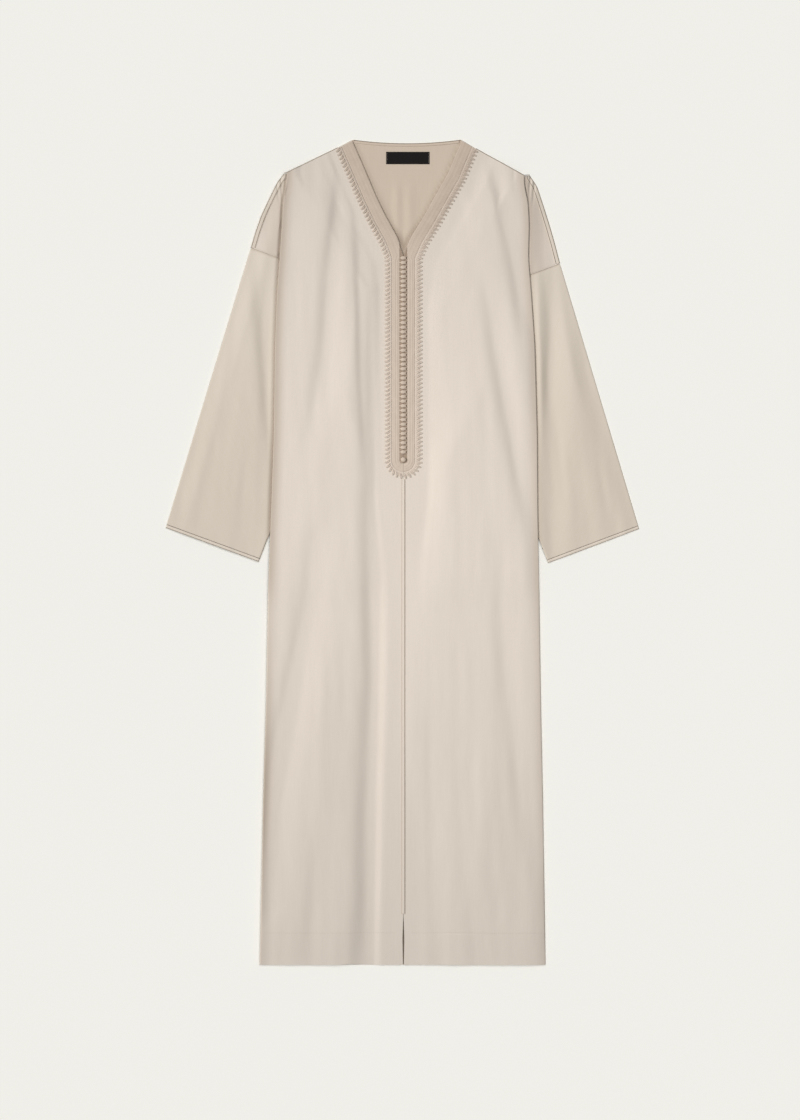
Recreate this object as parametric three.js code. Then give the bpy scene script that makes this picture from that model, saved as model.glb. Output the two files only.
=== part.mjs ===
// A kandora laid flat on its back, neck towards +Y, in millimetres with +Z up.
// Cloth pieces are thin walls stacked in layers. The body is wider than it shows:
// at each side front and back are folded inwards, and the sleeve comes out of that fold.
import * as THREE from 'three';

// Cloth, layers and seams
const CLOTH = 1.1;
const LAYER = 1.5;
const SEAM_GAP = 0.3;
const TRIM = 1.1;

// Main lengths
const CENTRE_X = 1.5;
const HEM_Y = -702;
const V_POINT_Y = 504;
const BACK_INSET = 12;
const BACK_INSET_SKIRT = 1.5;
const PUFF = 5;
const SLEEVE_DROP = 26;
const ARMHOLE_LENGTH = 205;
const CUFF_SLOPE = 0.33;
const CUFF_INNER_X = 244;
const RAMP_MARGIN = 8;
const CHEST_RAMP = 44;
const PUFF_REACH = 50;
const EDGE_ROLL = 45;
const LOWEST = 2.6;
const SOFT = 1;
const HEM_KINK = { x: -88, lift: 1.4, width: 16 };

// Neck and placket trim, widths measured outwards from the neck edge or the centre line
const BAND_WIDTH = 19.5;
const BAND_OVERHANG = 0.8;
const BUTTON_CHANNEL = 6.5;
const EDGING_START = BAND_WIDTH + SEAM_GAP;
const EDGING_ROOT = 27.3;
const EDGING_TIP = 32.3;
const TOOTH_PITCH = 7.1;
const TRIM_ARC_Y = 156.3;
const TRIM_CLEAR = EDGING_TIP + 3;
const CENTRE_CLEAR = 12;

// Small pieces
const KNOTS = 43;
const KNOT_TOP_Y = 500;
const KNOT_BOTTOM_Y = 170;
const KNOT_SIZE = { across: 11.2, along: 6.6, height: 5 };
const END_BUTTON = { y: 157, diameter: 10.4, height: 6 };
const BRAID_WIDTH = 6.4;
const LABEL = { x: 9, y: 670.5, width: 74, height: 21, thickness: 1 };
const NECK_BINDING = { width: 5, thickness: 1, end: 5 };
const CUFF_BINDING = 6;
const RIBBON_WIDTH = 8;

const COLORS = { cloth: 0xd8d2c8, trim: 0xcfc6bb, knot: 0xc9c0b4, label: 0x1d1a1a };

// Mid height of each stacked layer
const layerHeight = (count) => CLOTH / 2 + count * LAYER;

// Front fold edges of the body
const FOLD_EDGE = [
  { y: 646, left: -197, right: 207 },
  { y: 620, left: -198, right: 207 },
  { y: 600, left: -203, right: 213 },
  { y: 560, left: -205, right: 215.5 },
  { y: 500, left: -209, right: 214 },
  { y: 440, left: -213.5, right: 219 },
  { y: 350, left: -217, right: 225 },
  { y: 200, left: -219, right: 229 },
  { y: 60, left: -224, right: 230 },
  { y: -80, left: -229, right: 233 },
  { y: -250, left: -232, right: 235.5 },
  { y: -420, left: -237, right: 239 },
  { y: -702, left: -243, right: 243.5 },
];

// Depth of the inward fold at each side, below the underarm
const FOLD_DEPTH = [
  { y: 450, depth: 145 },
  { y: -702, depth: 150 },
];

// Neck edge of each front
const NECK_EDGE = [
  { y: 700, left: -86, right: 101 },
  { y: 643, left: -62, right: 77.5 },
  { y: 606, left: -46.5, right: 56.5 },
  { y: 570, left: -29, right: 36.5 },
  { y: 536, left: -10, right: 15.5 },
  { y: V_POINT_Y, left: CENTRE_X, right: CENTRE_X },
];

// Height of the flat bed under the trim, mid cloth
const BED = [
  { y: 700, height: layerHeight(1) },
  { y: V_POINT_Y, height: 4.8 },
  { y: 190, height: 4.8 },
  { y: 120, height: 5.2 },
  { y: 65, height: 5.9 },
  { y: 10, height: 6.6 },
  { y: -75, height: 7.2 },
  { y: -430, height: 7.2 },
  { y: -570, height: 6.4 },
  { y: HEM_Y, height: 5.0 },
];

// Rows of the body above the underarm. Inner ends lie on the neck edge, fold ends on the fold
// edge. Outer ends lie on the shoulder line, then at a share of the armhole seam.
const UPPER_ROWS = {
  left: [
    { inner: 700, fold: 645, x: -201, y: 644 },
    { inner: 668, fold: 622, x: -213, y: 629 },
    { inner: 640, fold: 598, x: -227, y: 601 },
    { inner: 606, fold: 562, x: -240.5, y: 572 },
    { inner: 570, fold: 530, x: -250, y: 545 },
    { inner: 536, fold: 505, x: -258, y: 518 },
    { inner: V_POINT_Y, fold: 478, armhole: 0.4 },
    { inner: 470, fold: 452, armhole: 0.72 },
  ],
  right: [
    { inner: 700, fold: 640, x: 216, y: 641 },
    { inner: 668, fold: 616, x: 229, y: 622 },
    { inner: 640, fold: 592, x: 239, y: 592 },
    { inner: 606, fold: 556, x: 250, y: 557 },
    { inner: 570, fold: 522, x: 259.5, y: 524 },
    { inner: 536, fold: 488, x: 268, y: 491 },
    { inner: V_POINT_Y, fold: 460, armhole: 0.4 },
    { inner: 470, fold: 432, armhole: 0.72 },
  ],
};
const SLIT_TOP_Y = -615;
const CORNER_ROW = 5;
const UNDERARM_ROW = 7;
const FRONT_ROWS = [410, 360, 305, 250, 190, 120, 65, 10, -35, -75, -115, -190, -270, -350, -430, -510,
  -570, SLIT_TOP_Y, -658, HEM_Y];
const BACK_ROWS = [410, 305, 190, 65, -35, -75, -115, -270, -430, -570, HEM_Y];

// How far each front stands back from the centre seam along the hem slit
const SLIT = [
  { y: SLIT_TOP_Y, open: 0 },
  { y: -658, open: 1.5 },
  { y: HEM_Y, open: 0.7 },
];

// Each side: neck point, first point of the pleat, armhole and cuff corners, how far inwards the
// front sinks from the crease to the flat bed, and how high the sleeve puffs up
const SIDES = {
  left: {
    name: 'left', sign: -1, neck: [-86, 702], pleatStart: [-192, 643], corner: [-258, 518],
    armholeAngle: -21, cuffOuter: [-402.8, 41.3], cuffInner: [-244.5, -16.5], ramp: 46,
    puff: 6.5,
  },
  right: {
    name: 'right', sign: 1, neck: [101, 702], pleatStart: [202, 638], corner: [268, 491],
    armholeAngle: -159, cuffOuter: [402.8, 39.4], cuffInner: [248, -18.7], ramp: 100,
    puff: 5,
  },
};

// Main creases of the fronts: troughs have a positive depth, ridges a negative one
const CREASES = [
  [
    { y: 650, x: -106, depth: 1.5, width: 9 },
    { y: 598, x: -113, depth: 3.2, width: 9 },
    { y: 496, x: -125, depth: 4, width: 10 },
    { y: 377, x: -131, depth: 4.5, width: 13 },
    { y: 258, x: -151, depth: 3.5, width: 15 },
    { y: 170, x: -160, depth: 0, width: 16 },
  ],
  [
    { y: 600, x: -70, depth: 2, width: 8 },
    { y: 560, x: -71, depth: 3, width: 8 },
    { y: 437, x: -71, depth: 4, width: 9 },
    { y: 309, x: -70, depth: 4, width: 10 },
    { y: 200, x: -64, depth: 3.5, width: 12 },
    { y: 139, x: -60, depth: 4, width: 14 },
    { y: 20, x: -57, depth: 5, width: 15 },
    { y: -100, x: -56, depth: 5.5, width: 16 },
    { y: -218, x: -55, depth: 6, width: 17 },
    { y: -337, x: -63, depth: 6.5, width: 18 },
    { y: -455, x: -66, depth: 6.5, width: 18 },
    { y: -575, x: -66, depth: 6.5, width: 19 },
    { y: -702, x: -72, depth: 5.5, width: 20 },
  ],
  [
    { y: 60, x: -146, depth: 0, width: 16 },
    { y: 20, x: -150, depth: 3, width: 17 },
    { y: -100, x: -160, depth: 4.5, width: 18 },
    { y: -218, x: -176, depth: 4.5, width: 18 },
    { y: -337, x: -196, depth: 4, width: 17 },
    { y: -420, x: -212, depth: 2, width: 15 },
    { y: -500, x: -222, depth: 0.8, width: 14 },
    { y: -560, x: -226, depth: 0, width: 14 },
  ],
  [
    { y: 670, x: 156, depth: 2, width: 11 },
    { y: 598, x: 173, depth: 4, width: 12 },
    { y: 496, x: 192, depth: 4, width: 13 },
    { y: 420, x: 204, depth: 1.5, width: 14 },
    { y: 380, x: 207, depth: 0, width: 15 },
  ],
  [
    { y: 470, x: 140, depth: 0, width: 13 },
    { y: 437, x: 146, depth: 2.5, width: 14 },
    { y: 377, x: 153, depth: 3.5, width: 15 },
    { y: 258, x: 175, depth: 4.5, width: 15 },
    { y: 139, x: 198, depth: 4, width: 15 },
    { y: 60, x: 212, depth: 2, width: 14 },
    { y: 10, x: 218, depth: 0, width: 14 },
  ],
  [
    { y: 60, x: 160, depth: 0, width: 16 },
    { y: 0, x: 164, depth: 1.5, width: 16 },
    { y: -100, x: 170, depth: 2.2, width: 17 },
    { y: -218, x: 178, depth: 2.8, width: 18 },
    { y: -362, x: 196, depth: 2.8, width: 17 },
    { y: -510, x: 216, depth: 1.2, width: 16 },
    { y: -570, x: 224, depth: 0, width: 16 },
  ],
  [
    { y: -240, x: 44, depth: 0, width: 13 },
    { y: -337, x: 48, depth: 1.2, width: 14 },
    { y: -575, x: 54, depth: 1.6, width: 15 },
    { y: -702, x: 60, depth: 1.8, width: 16 },
  ],
  [
    { y: -420, x: -140, depth: 0, width: 15 },
    { y: -520, x: -146, depth: 1.2, width: 16 },
    { y: -640, x: -158, depth: 1.8, width: 15 },
    { y: -702, x: -162, depth: 1.8, width: 15 },
  ],
  [
    { y: -560, x: 118, depth: 0, width: 12 },
    { y: -640, x: 124, depth: 1, width: 12 },
    { y: -702, x: 128, depth: 1.6, width: 13 },
  ],
];

// Creases of the sleeves
const SLEEVE_CREASES = [
  [
    { y: 500, x: -238, depth: 1.5, width: 9 },
    { y: 400, x: -236, depth: 2.2, width: 10 },
    { y: 260, x: -246, depth: 2.5, width: 12 },
    { y: 80, x: -266, depth: 2, width: 14 },
    { y: 0, x: -270, depth: 1, width: 14 },
  ],
  [
    { y: 430, x: -276, depth: 0, width: 12 },
    { y: 330, x: -286, depth: 1.8, width: 13 },
    { y: 200, x: -314, depth: 2, width: 15 },
    { y: 60, x: -346, depth: 1.6, width: 17 },
  ],
  [
    { y: 240, x: -330, depth: 0, width: 12 },
    { y: 160, x: -352, depth: 1.6, width: 13 },
    { y: 60, x: -378, depth: 1.2, width: 13 },
  ],
  [
    { y: 480, x: 252, depth: 1, width: 9 },
    { y: 380, x: 250, depth: 2, width: 11 },
    { y: 280, x: 256, depth: 2.4, width: 12 },
    { y: 120, x: 270, depth: 2, width: 14 },
    { y: 0, x: 280, depth: 1, width: 15 },
  ],
  [
    { y: 400, x: 290, depth: 0, width: 12 },
    { y: 300, x: 306, depth: 1.8, width: 14 },
    { y: 180, x: 330, depth: 2, width: 15 },
    { y: 40, x: 358, depth: 1.6, width: 17 },
  ],
  [
    { y: 180, x: 290, depth: 0, width: 13 },
    { y: 100, x: 300, depth: 1.6, width: 14 },
    { y: 0, x: 312, depth: 1.4, width: 15 },
  ],
];

// A crease falls steeply on its left side and rises gently on its right
const LEFT_STEEP = 0.9;
const RIGHT_GENTLE = 1.5;

const clamp01 = (value) => Math.min(1, Math.max(0, value));
const smooth = (from, to, value) => {
  const share = clamp01((value - from) / (to - from));
  return share * share * (3 - 2 * share);
};
const mix = (a, b, share) => a + (b - a) * share;
const mixPoint = (a, b, share) => [mix(a[0], b[0], share), mix(a[1], b[1], share)];

// Value of one column of a table at a height, tables run downwards in y
function atHeight(table, y, column) {
  if (y >= table[0].y) return table[0][column];
  for (let i = 1; i < table.length; i += 1) {
    if (y >= table[i].y) {
      const share = (table[i - 1].y - y) / (table[i - 1].y - table[i].y);
      return mix(table[i - 1][column], table[i][column], share);
    }
  }
  return table.at(-1)[column];
}

// Summed depth of a list of creases at one place, faded out past their ends
function creaseDepth(creases, x, y) {
  let depth = 0;
  for (const crease of creases) {
    const offset = x - atHeight(crease, y, 'x');
    const reach = atHeight(crease, y, 'width') * (offset < 0 ? LEFT_STEEP : RIGHT_GENTLE);
    const away = offset / reach;
    const past = Math.max(0, y - crease[0].y, crease.at(-1).y - y) / 30;
    depth += atHeight(crease, y, 'depth') * Math.exp(-away * away - past * past);
  }
  return depth;
}

// 1 where a sleeve lies in the side fold, 0 in the skirt
const sleeveInFold = (y) => smooth(-110, -30, y);

const foldX = (side, y) => atHeight(FOLD_EDGE, y, side.name);
const backInset = (y) => mix(BACK_INSET_SKIRT, BACK_INSET, sleeveInFold(y));
const armholeDirection = (side) => {
  const angle = THREE.MathUtils.degToRad(side.armholeAngle);
  return [Math.cos(angle), Math.sin(angle)];
};

// Point on the armhole seam, a share of its length from the shoulder corner
function armholePoint(side, share) {
  const [dx, dy] = armholeDirection(side);
  const length = ARMHOLE_LENGTH * share;
  return [side.corner[0] + dx * length, side.corner[1] + dy * length];
}

// Crease at the bottom of the inward fold: from the shoulder tip to the underarm, then the side seam
function creasePoint(side, row) {
  if (row.share !== undefined) return mixPoint(side.pleatStart, armholePoint(side, 1), row.share);
  return [foldX(side, row.fold) - side.sign * atHeight(FOLD_DEPTH, row.fold, 'depth'), row.fold];
}

function creaseX(side, y) {
  const underarm = armholePoint(side, 1);
  if (y < underarm[1]) return foldX(side, y) - side.sign * atHeight(FOLD_DEPTH, y, 'depth');
  return mixPoint(underarm, side.pleatStart, clamp01((y - underarm[1]) / (side.pleatStart[1] - underarm[1])))[0];
}

// All rows of one side of the body, top to hem
function bodyRows(side, lowerRows) {
  const upper = UPPER_ROWS[side.name].map((row, i) => ({
    ...row,
    share: i / UNDERARM_ROW,
    outer: row.armhole === undefined ? [row.x, row.y] : armholePoint(side, row.armhole),
  }));
  return [...upper, ...lowerRows.map((y) => ({ inner: y, fold: y }))];
}

const turnHeight = (y) => mix(layerHeight(2), layerHeight(4), sleeveInFold(y));

// Outer edge of the flat bed that carries the trim, which measures wider where the neck edge slopes
const NECK_SLOPE_STRETCH = 1.08;
const NECK_SLOPE_SHIFT = 14;

function bedEdgeX(side, y) {
  if (y > V_POINT_Y - 8) {
    const neck = atHeight(NECK_EDGE, y + NECK_SLOPE_SHIFT, side.name);
    return neck + side.sign * TRIM_CLEAR * NECK_SLOPE_STRETCH;
  }
  return CENTRE_X + side.sign * mix(CENTRE_CLEAR, TRIM_CLEAR, smooth(80, 122, y));
}

// The higher of two heights, with a soft change from one to the other
const higher = (a, b) => (a + b + Math.sqrt((a - b) ** 2 + SOFT ** 2)) / 2;

// Mid height of the front cloth: it rests on the folded side, and sinks softly to the bed
function frontHeight(side, x, y) {
  const bed = atHeight(BED, y, 'height');
  const out = side.sign * x;
  const bedEnd = side.sign * bedEdgeX(side, y);
  const rampEnd = Math.max(bedEnd + RAMP_MARGIN, side.sign * creaseX(side, y) - RAMP_MARGIN);
  const ramp = side.ramp + CHEST_RAMP * smooth(480, 600, y);
  const share = smooth(Math.max(bedEnd, rampEnd - ramp), rampEnd, out);
  if (share === 0) return bed;
  const folded = turnHeight(y) + LAYER;
  const puffEnd = rampEnd + PUFF_REACH * smooth(120, 330, y);
  const puff = PUFF * smooth(Math.max(bedEnd, rampEnd - ramp), puffEnd, out);
  const hemFade = mix(0.7, 1, smooth(HEM_Y, HEM_Y + 60, y));
  const shoulderFade = mix(0.35, 1, smooth(690, 600, y));
  const foldOut = side.sign * foldX(side, y);
  const roll = mix(2, 4, sleeveInFold(y)) * smooth(foldOut - EDGE_ROLL, foldOut - 3, out);
  const trough = creaseDepth(CREASES, x, y) * smooth(0, 0.25, share);
  const wanted = mix(bed, folded, share) + puff * hemFade * shoulderFade - roll - trough;
  const support = mix(LOWEST, folded, smooth(rampEnd - 14, rampEnd, out));
  return mix(bed, higher(wanted, support), smooth(0, 0.1, share));
}

// Mid heights of the lower and upper sleeve walls, which the shoulder extensions share
function underHeight(side, x, y) {
  const outside = side.sign * (x - foldX(side, y));
  return mix(layerHeight(2), layerHeight(0), smooth(0, SLEEVE_DROP, outside));
}

// Distance in from the outer edge of the shoulder extension and the sleeve
function fromOuterEdge(side, x, y) {
  const tip = UPPER_ROWS[side.name][0];
  const lines = [[[tip.x, tip.y], side.corner], [side.corner, side.cuffOuter]];
  return Math.min(...lines.map(([from, to]) => {
    const run = [to[0] - from[0], to[1] - from[1]];
    return side.sign * ((x - from[0]) * run[1] - (y - from[1]) * run[0]) / Math.hypot(...run);
  }));
}

function overHeight(side, x, y) {
  const outside = side.sign * (x - foldX(side, y));
  const edgeFade = mix(0.2, 1, smooth(0, 34, fromOuterEdge(side, x, y)));
  const cuffFade = mix(0.45, 1, smooth(-20, 90, y - CUFF_SLOPE * (Math.abs(x) - CUFF_INNER_X)));
  const puff = side.puff * smooth(2, 26, outside) * edgeFade * cuffFade;
  const raised = puff - creaseDepth(SLEEVE_CREASES, x, y);
  return underHeight(side, x, y) + LAYER + Math.max(0, raised * smooth(2, 20, outside));
}

// A point of a near level sheet: facing is 1 when its outer side looks up, -1 when down
const sheetPoint = (x, y, z, facing) => ({
  outer: [x, y, z + facing * CLOTH / 2],
  inner: [x, y, z - facing * CLOTH / 2],
});

// Points of a half turn between two sheets, without its two ends
function turnPoints([x, y], out, fromZ, toZ, outerOnOutside) {
  const radius = Math.abs(fromZ - toZ) / 2;
  const middle = (fromZ + toZ) / 2;
  const start = Math.sign(fromZ - toZ) * 90;
  const place = (rho, degrees) => {
    const angle = THREE.MathUtils.degToRad(degrees);
    const reach = rho * Math.cos(angle);
    return [x + out[0] * reach, y + out[1] * reach, middle + rho * Math.sin(angle)];
  };
  return [0.5, 0, -0.5].map((share) => {
    const degrees = start * share;
    const wide = place(radius + CLOTH / 2, degrees);
    const narrow = place(radius - CLOTH / 2, degrees);
    return outerOnOutside ? { outer: wide, inner: narrow } : { outer: narrow, inner: wide };
  });
}

// The folded side of a body panel for one row: turn, returning sheet, turn and shoulder extension
function foldedSide(side, row, up, sheetZ, turnZ, extensionZ, inset) {
  const edge = [foldX(side, row.fold) - side.sign * inset, row.fold];
  const radius = Math.abs(sheetZ - turnZ) / 2 + CLOTH / 2;
  const edgeIn = [edge[0] - side.sign * radius, edge[1]];
  const crease = creasePoint(side, row);
  const out = [side.sign, 0];
  const points = [sheetPoint(...edgeIn, sheetZ, up)];
  points.push(...turnPoints(edgeIn, out, sheetZ, turnZ, true));
  points.push(sheetPoint(...edgeIn, turnZ, -up), sheetPoint(...crease, turnZ, -up));
  if (!row.outer) return points;
  const back = [-side.sign, 0];
  const hiddenZ = extensionZ(...crease);
  points.push(...turnPoints(crease, back, turnZ, hiddenZ, false));
  const ribbonShare = row.share === 0 ? 0.62 : 1 - RIBBON_WIDTH / Math.abs(row.outer[0] - crease[0]);
  const foldShare = Math.abs((foldX(side, row.fold) - crease[0]) / (row.outer[0] - crease[0]));
  const armholeRow = row.armhole !== undefined;
  const shares = armholeRow ? [0, 0.25, 0.5, 0.75, 1]
    : [0, foldShare * 0.98, mix(foldShare, ribbonShare, 0.55), ribbonShare, 1].sort((a, b) => a - b);
  for (const share of shares) {
    const [x, y] = mixPoint(crease, row.outer, share);
    points.push(sheetPoint(x, y, extensionZ(x, y), up));
  }
  return points;
}

// Faces of a grid of rows with unequal lengths, the rows start on the same column
function gridFaces(lengths, columns, flip) {
  const faces = [];
  for (let i = 0; i + 1 < lengths.length; i += 1) {
    for (let j = 0; j + 1 < Math.min(lengths[i], lengths[i + 1]); j += 1) {
      const a = i * columns + j;
      const b = a + columns;
      const quad = [[a, b, b + 1], [a, b + 1, a + 1]];
      faces.push(...quad.map(([p, q, r]) => (flip ? [p, r, q] : [p, q, r])));
    }
  }
  return faces;
}

// A closed solid from the outer and inner points of a sheet and its faces, with a rim all round
function closedWall(outer, inner, faces) {
  const count = outer.length;
  const directed = new Set(faces.flatMap(([a, b, c]) => [`${a} ${b}`, `${b} ${c}`, `${c} ${a}`]));
  const index = [];
  for (const [a, b, c] of faces) {
    index.push(a, b, c, count + a, count + c, count + b);
    for (const [p, q] of [[a, b], [b, c], [c, a]]) {
      if (!directed.has(`${q} ${p}`)) index.push(q, p, count + p, q, count + p, count + q);
    }
  }
  const geometry = new THREE.BufferGeometry();
  const positions = [...outer, ...inner].flat();
  geometry.setAttribute('position', new THREE.Float32BufferAttribute(positions, 3));
  geometry.setIndex(index);
  const solid = geometry.toNonIndexed();
  solid.computeVertexNormals();
  return solid;
}

// Rows of outer and inner points to a closed wall
function rowsWall(rows, flip) {
  const columns = Math.max(...rows.map((row) => row.length));
  const filled = rows.map((row) => [...row, ...Array(columns - row.length).fill(row[0])]);
  const points = filled.flat();
  const faces = gridFaces(rows.map((row) => row.length), columns, flip);
  return closedWall(points.map((p) => p.outer), points.map((p) => p.inner), faces);
}

function material(color, roughness) {
  return new THREE.MeshStandardMaterial({ color, roughness, metalness: 0, flatShading: true });
}

const group = new THREE.Group();

function addPiece(name, geometry, color, roughness = 0.75) {
  const mesh = new THREE.Mesh(geometry, material(color, roughness));
  mesh.name = name;
  group.add(mesh);
  return mesh;
}

// Front panels
const FRONT_CELLS = 14;

// The hem has one small kink
function hemLift(x, y) {
  return y > HEM_Y + 1 ? 0 : HEM_KINK.lift * Math.exp(-(((x - HEM_KINK.x) / HEM_KINK.width) ** 2));
}

function frontRow(side, row) {
  const edgeX = foldX(side, row.fold);
  const centreX = CENTRE_X + side.sign * (SEAM_GAP / 2 + atHeight(SLIT, row.inner, 'open'));
  const innerX = row.inner > V_POINT_Y ? atHeight(NECK_EDGE, row.inner, side.name) : centreX;
  const edgeZ = frontHeight(side, edgeX, row.fold);
  const edgeInX = edgeX - side.sign * ((edgeZ - turnHeight(row.fold)) / 2 + CLOTH / 2);
  const bedX = bedEdgeX(side, mix(row.inner, row.fold, 0.18));
  const points = [];
  for (let j = 0; j < FRONT_CELLS; j += 1) {
    const x = j === 0 ? innerX : mix(bedX, edgeInX, (j - 1) / (FRONT_CELLS - 1));
    const y = mix(row.inner, row.fold, (x - innerX) / (edgeInX - innerX));
    points.push(sheetPoint(x, y + hemLift(x, y), frontHeight(side, x, y), 1));
  }
  const extension = (x, y) => overHeight(side, x, y);
  return [...points, ...foldedSide(side, row, 1, edgeZ, turnHeight(row.fold), extension, 0)];
}

const frontRows = {};
for (const side of Object.values(SIDES)) {
  frontRows[side.name] = bodyRows(side, FRONT_ROWS).map((row) => frontRow(side, row));
  addPiece(`front_${side.name}`, rowsWall(frontRows[side.name], side.sign < 0), COLORS.cloth);
}

// Back panel: one flat sheet with the same folded sides, turned up instead of down
const BACK_CELLS = 6;
const BACK_NECK_CELLS = 3;
const BACK_NECK_DIP = 6.5;

const backNeckY = (x) => {
  const { left, right } = SIDES;
  const share = (x - left.neck[0]) / (right.neck[0] - left.neck[0]);
  return left.neck[1] - BACK_NECK_DIP * 4 * share * (1 - share);
};

function backHalfRow(side, row, isTop) {
  const z = layerHeight(0);
  const turnZ = layerHeight(1);
  const inset = isTop ? 4 : backInset(row.fold);
  const edgeInX = foldX(side, row.fold) - side.sign * (inset + (turnZ - z) / 2 + CLOTH / 2);
  const points = [];
  for (let j = 0; j < BACK_CELLS; j += 1) {
    const inNeck = j <= BACK_NECK_CELLS;
    const neckX = isTop ? side.neck[0] : mix(CENTRE_X, edgeInX, 0.46);
    const x = inNeck ? mix(CENTRE_X, neckX, j / BACK_NECK_CELLS)
      : mix(neckX, edgeInX, (j - BACK_NECK_CELLS) / (BACK_CELLS - BACK_NECK_CELLS));
    const y = isTop && inNeck ? backNeckY(x)
      : mix(row.inner, row.fold, (x - neckX * isTop) / (edgeInX - neckX * isTop));
    points.push(sheetPoint(x, y, z, -1));
  }
  const extension = (x, y) => underHeight(side, x, y);
  return [...points, ...foldedSide(side, row, -1, z, turnZ, extension, inset)];
}

function backPanel() {
  const halves = Object.values(SIDES).map((side) => (
    bodyRows(side, BACK_ROWS).map((row, i) => backHalfRow(side, row, i === 0))
  ));
  const columns = Math.max(...halves[0].map((row) => row.length));
  const points = [];
  const faces = [];
  halves.forEach((rows, half) => {
    const start = points.length;
    const filled = rows.map((row) => [...row, ...Array(columns - row.length).fill(row[0])]);
    points.push(...filled.flat());
    const found = gridFaces(rows.map((row) => row.length), columns, half === 1);
    faces.push(...found.map((face) => face.map((corner) => corner + start)));
  });
  const shared = halves[0].length * columns;
  const welded = faces.map((face) => face.map((corner) => (
    corner >= shared && (corner - shared) % columns === 0 ? corner - shared : corner
  )));
  return closedWall(points.map((p) => p.outer), points.map((p) => p.inner), welded);
}

addPiece('back', backPanel(), COLORS.cloth);

// Sleeves: flattened tubes from the armhole seam to the cuff
const SLEEVE_ROWS = [0, 0.06, 0.14, 0.24, 0.34, 0.44, 0.54, 0.64, 0.74, 0.83, 0.92, 1];
const SLEEVE_CELLS = 9;

// One ring of a sleeve: across the top from the outer to the inner edge, then back underneath
function sleeveRing(side, along) {
  const [ax, ay] = armholeDirection(side);
  const seam = [0, 1].map((share) => {
    const [x, y] = armholePoint(side, share);
    return [x + Math.abs(ay) * side.sign * SEAM_GAP, y - Math.abs(ax) * SEAM_GAP];
  });
  const outer = mixPoint(seam[0], side.cuffOuter, along);
  const inner = mixPoint(seam[1], side.cuffInner, along);
  const outward = [outer[0] - inner[0], outer[1] - inner[1]];
  const width = Math.hypot(...outward);
  const out = outward.map((part) => part / width);
  const edges = [outer, inner].map(([x, y], end) => {
    const turn = (overHeight(side, x, y) - underHeight(side, x, y)) / 2 + CLOTH / 2;
    const step = end === 0 ? -turn : turn;
    return [x + out[0] * step, y + out[1] * step];
  });
  const upper = [];
  const lower = [];
  for (let j = 0; j <= SLEEVE_CELLS; j += 1) {
    const [x, y] = mixPoint(edges[0], edges[1], j / SLEEVE_CELLS);
    upper.push(sheetPoint(x, y, overHeight(side, x, y), 1));
    lower.unshift(sheetPoint(x, y, underHeight(side, x, y), -1));
  }
  const heights = edges.map(([x, y]) => [overHeight(side, x, y), underHeight(side, x, y)]);
  const back = out.map((part) => -part);
  const innerTurn = turnPoints(edges[1], back, heights[1][0], heights[1][1], true);
  const outerTurn = turnPoints(edges[0], out, heights[0][0], heights[0][1], true).reverse();
  return [...upper, ...innerTurn, ...lower, ...outerTurn];
}

// Rings of equal length to an open tube with a wall
function ringsWall(rings, flip) {
  const columns = rings[0].length;
  const points = rings.flat();
  const faces = [];
  for (let i = 0; i + 1 < rings.length; i += 1) {
    for (let j = 0; j < columns; j += 1) {
      const a = i * columns + j;
      const b = i * columns + ((j + 1) % columns);
      const quad = [[a, a + columns, b + columns], [a, b + columns, b]];
      faces.push(...quad.map(([p, q, r]) => (flip ? [p, r, q] : [p, q, r])));
    }
  }
  return closedWall(points.map((p) => p.outer), points.map((p) => p.inner), faces);
}

for (const side of Object.values(SIDES)) {
  const [x, y] = armholePoint(side, 0);
  const length = Math.hypot(side.cuffOuter[0] - x, side.cuffOuter[1] - y);
  const sleeveEnd = 1 - (CUFF_BINDING + SEAM_GAP) / length;
  const rings = SLEEVE_ROWS.map((along) => sleeveRing(side, along * sleeveEnd));
  addPiece(`sleeve_${side.name}`, ringsWall(rings, side.sign > 0), COLORS.cloth);
  const binding = [1 - CUFF_BINDING / length, 1].map((along) => sleeveRing(side, along));
  addPiece(`cuff_binding_${side.name}`, ringsWall(binding, side.sign > 0), COLORS.trim);
}

// Line that the neck and placket trim follows: base points with an outward direction
const ARC_STEPS = 6;

function trimStations(side) {
  const shoulder = new THREE.Vector2(
    UPPER_ROWS[side.name][0].x - side.neck[0],
    UPPER_ROWS[side.name][0].y - side.neck[1],
  ).normalize();
  const corners = NECK_EDGE.map((row) => [row[side.name], row.y]);
  corners.push([CENTRE_X, TRIM_ARC_Y]);
  const across = (from, to) => {
    const step = new THREE.Vector2(to[0] - from[0], to[1] - from[1]).normalize();
    return new THREE.Vector2(-step.y * side.sign, step.x * side.sign);
  };
  const stations = corners.slice(0, -1).map((corner, i) => {
    if (i === 0) return { base: [corner[0], corner[1] - 1.5], out: [shoulder.x, shoulder.y] };
    const before = across(corners[i - 1], corner);
    const after = across(corner, corners[i + 1]);
    const middle = before.clone().add(after).normalize();
    middle.divideScalar(middle.dot(after));
    return { base: corner, out: [middle.x, middle.y] };
  });
  stations.push({ base: [CENTRE_X, V_POINT_Y - 7.5], out: [side.sign, 0] });
  for (let i = 0; i <= ARC_STEPS; i += 1) {
    const angle = (i / ARC_STEPS) * Math.PI / 2;
    stations.push({
      base: [CENTRE_X, TRIM_ARC_Y],
      out: [side.sign * Math.cos(angle), -Math.sin(angle)],
    });
  }
  return stations;
}

const stationPoint = (station, offset) => [
  station.base[0] + station.out[0] * offset,
  station.base[1] + station.out[1] * offset,
];

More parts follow.
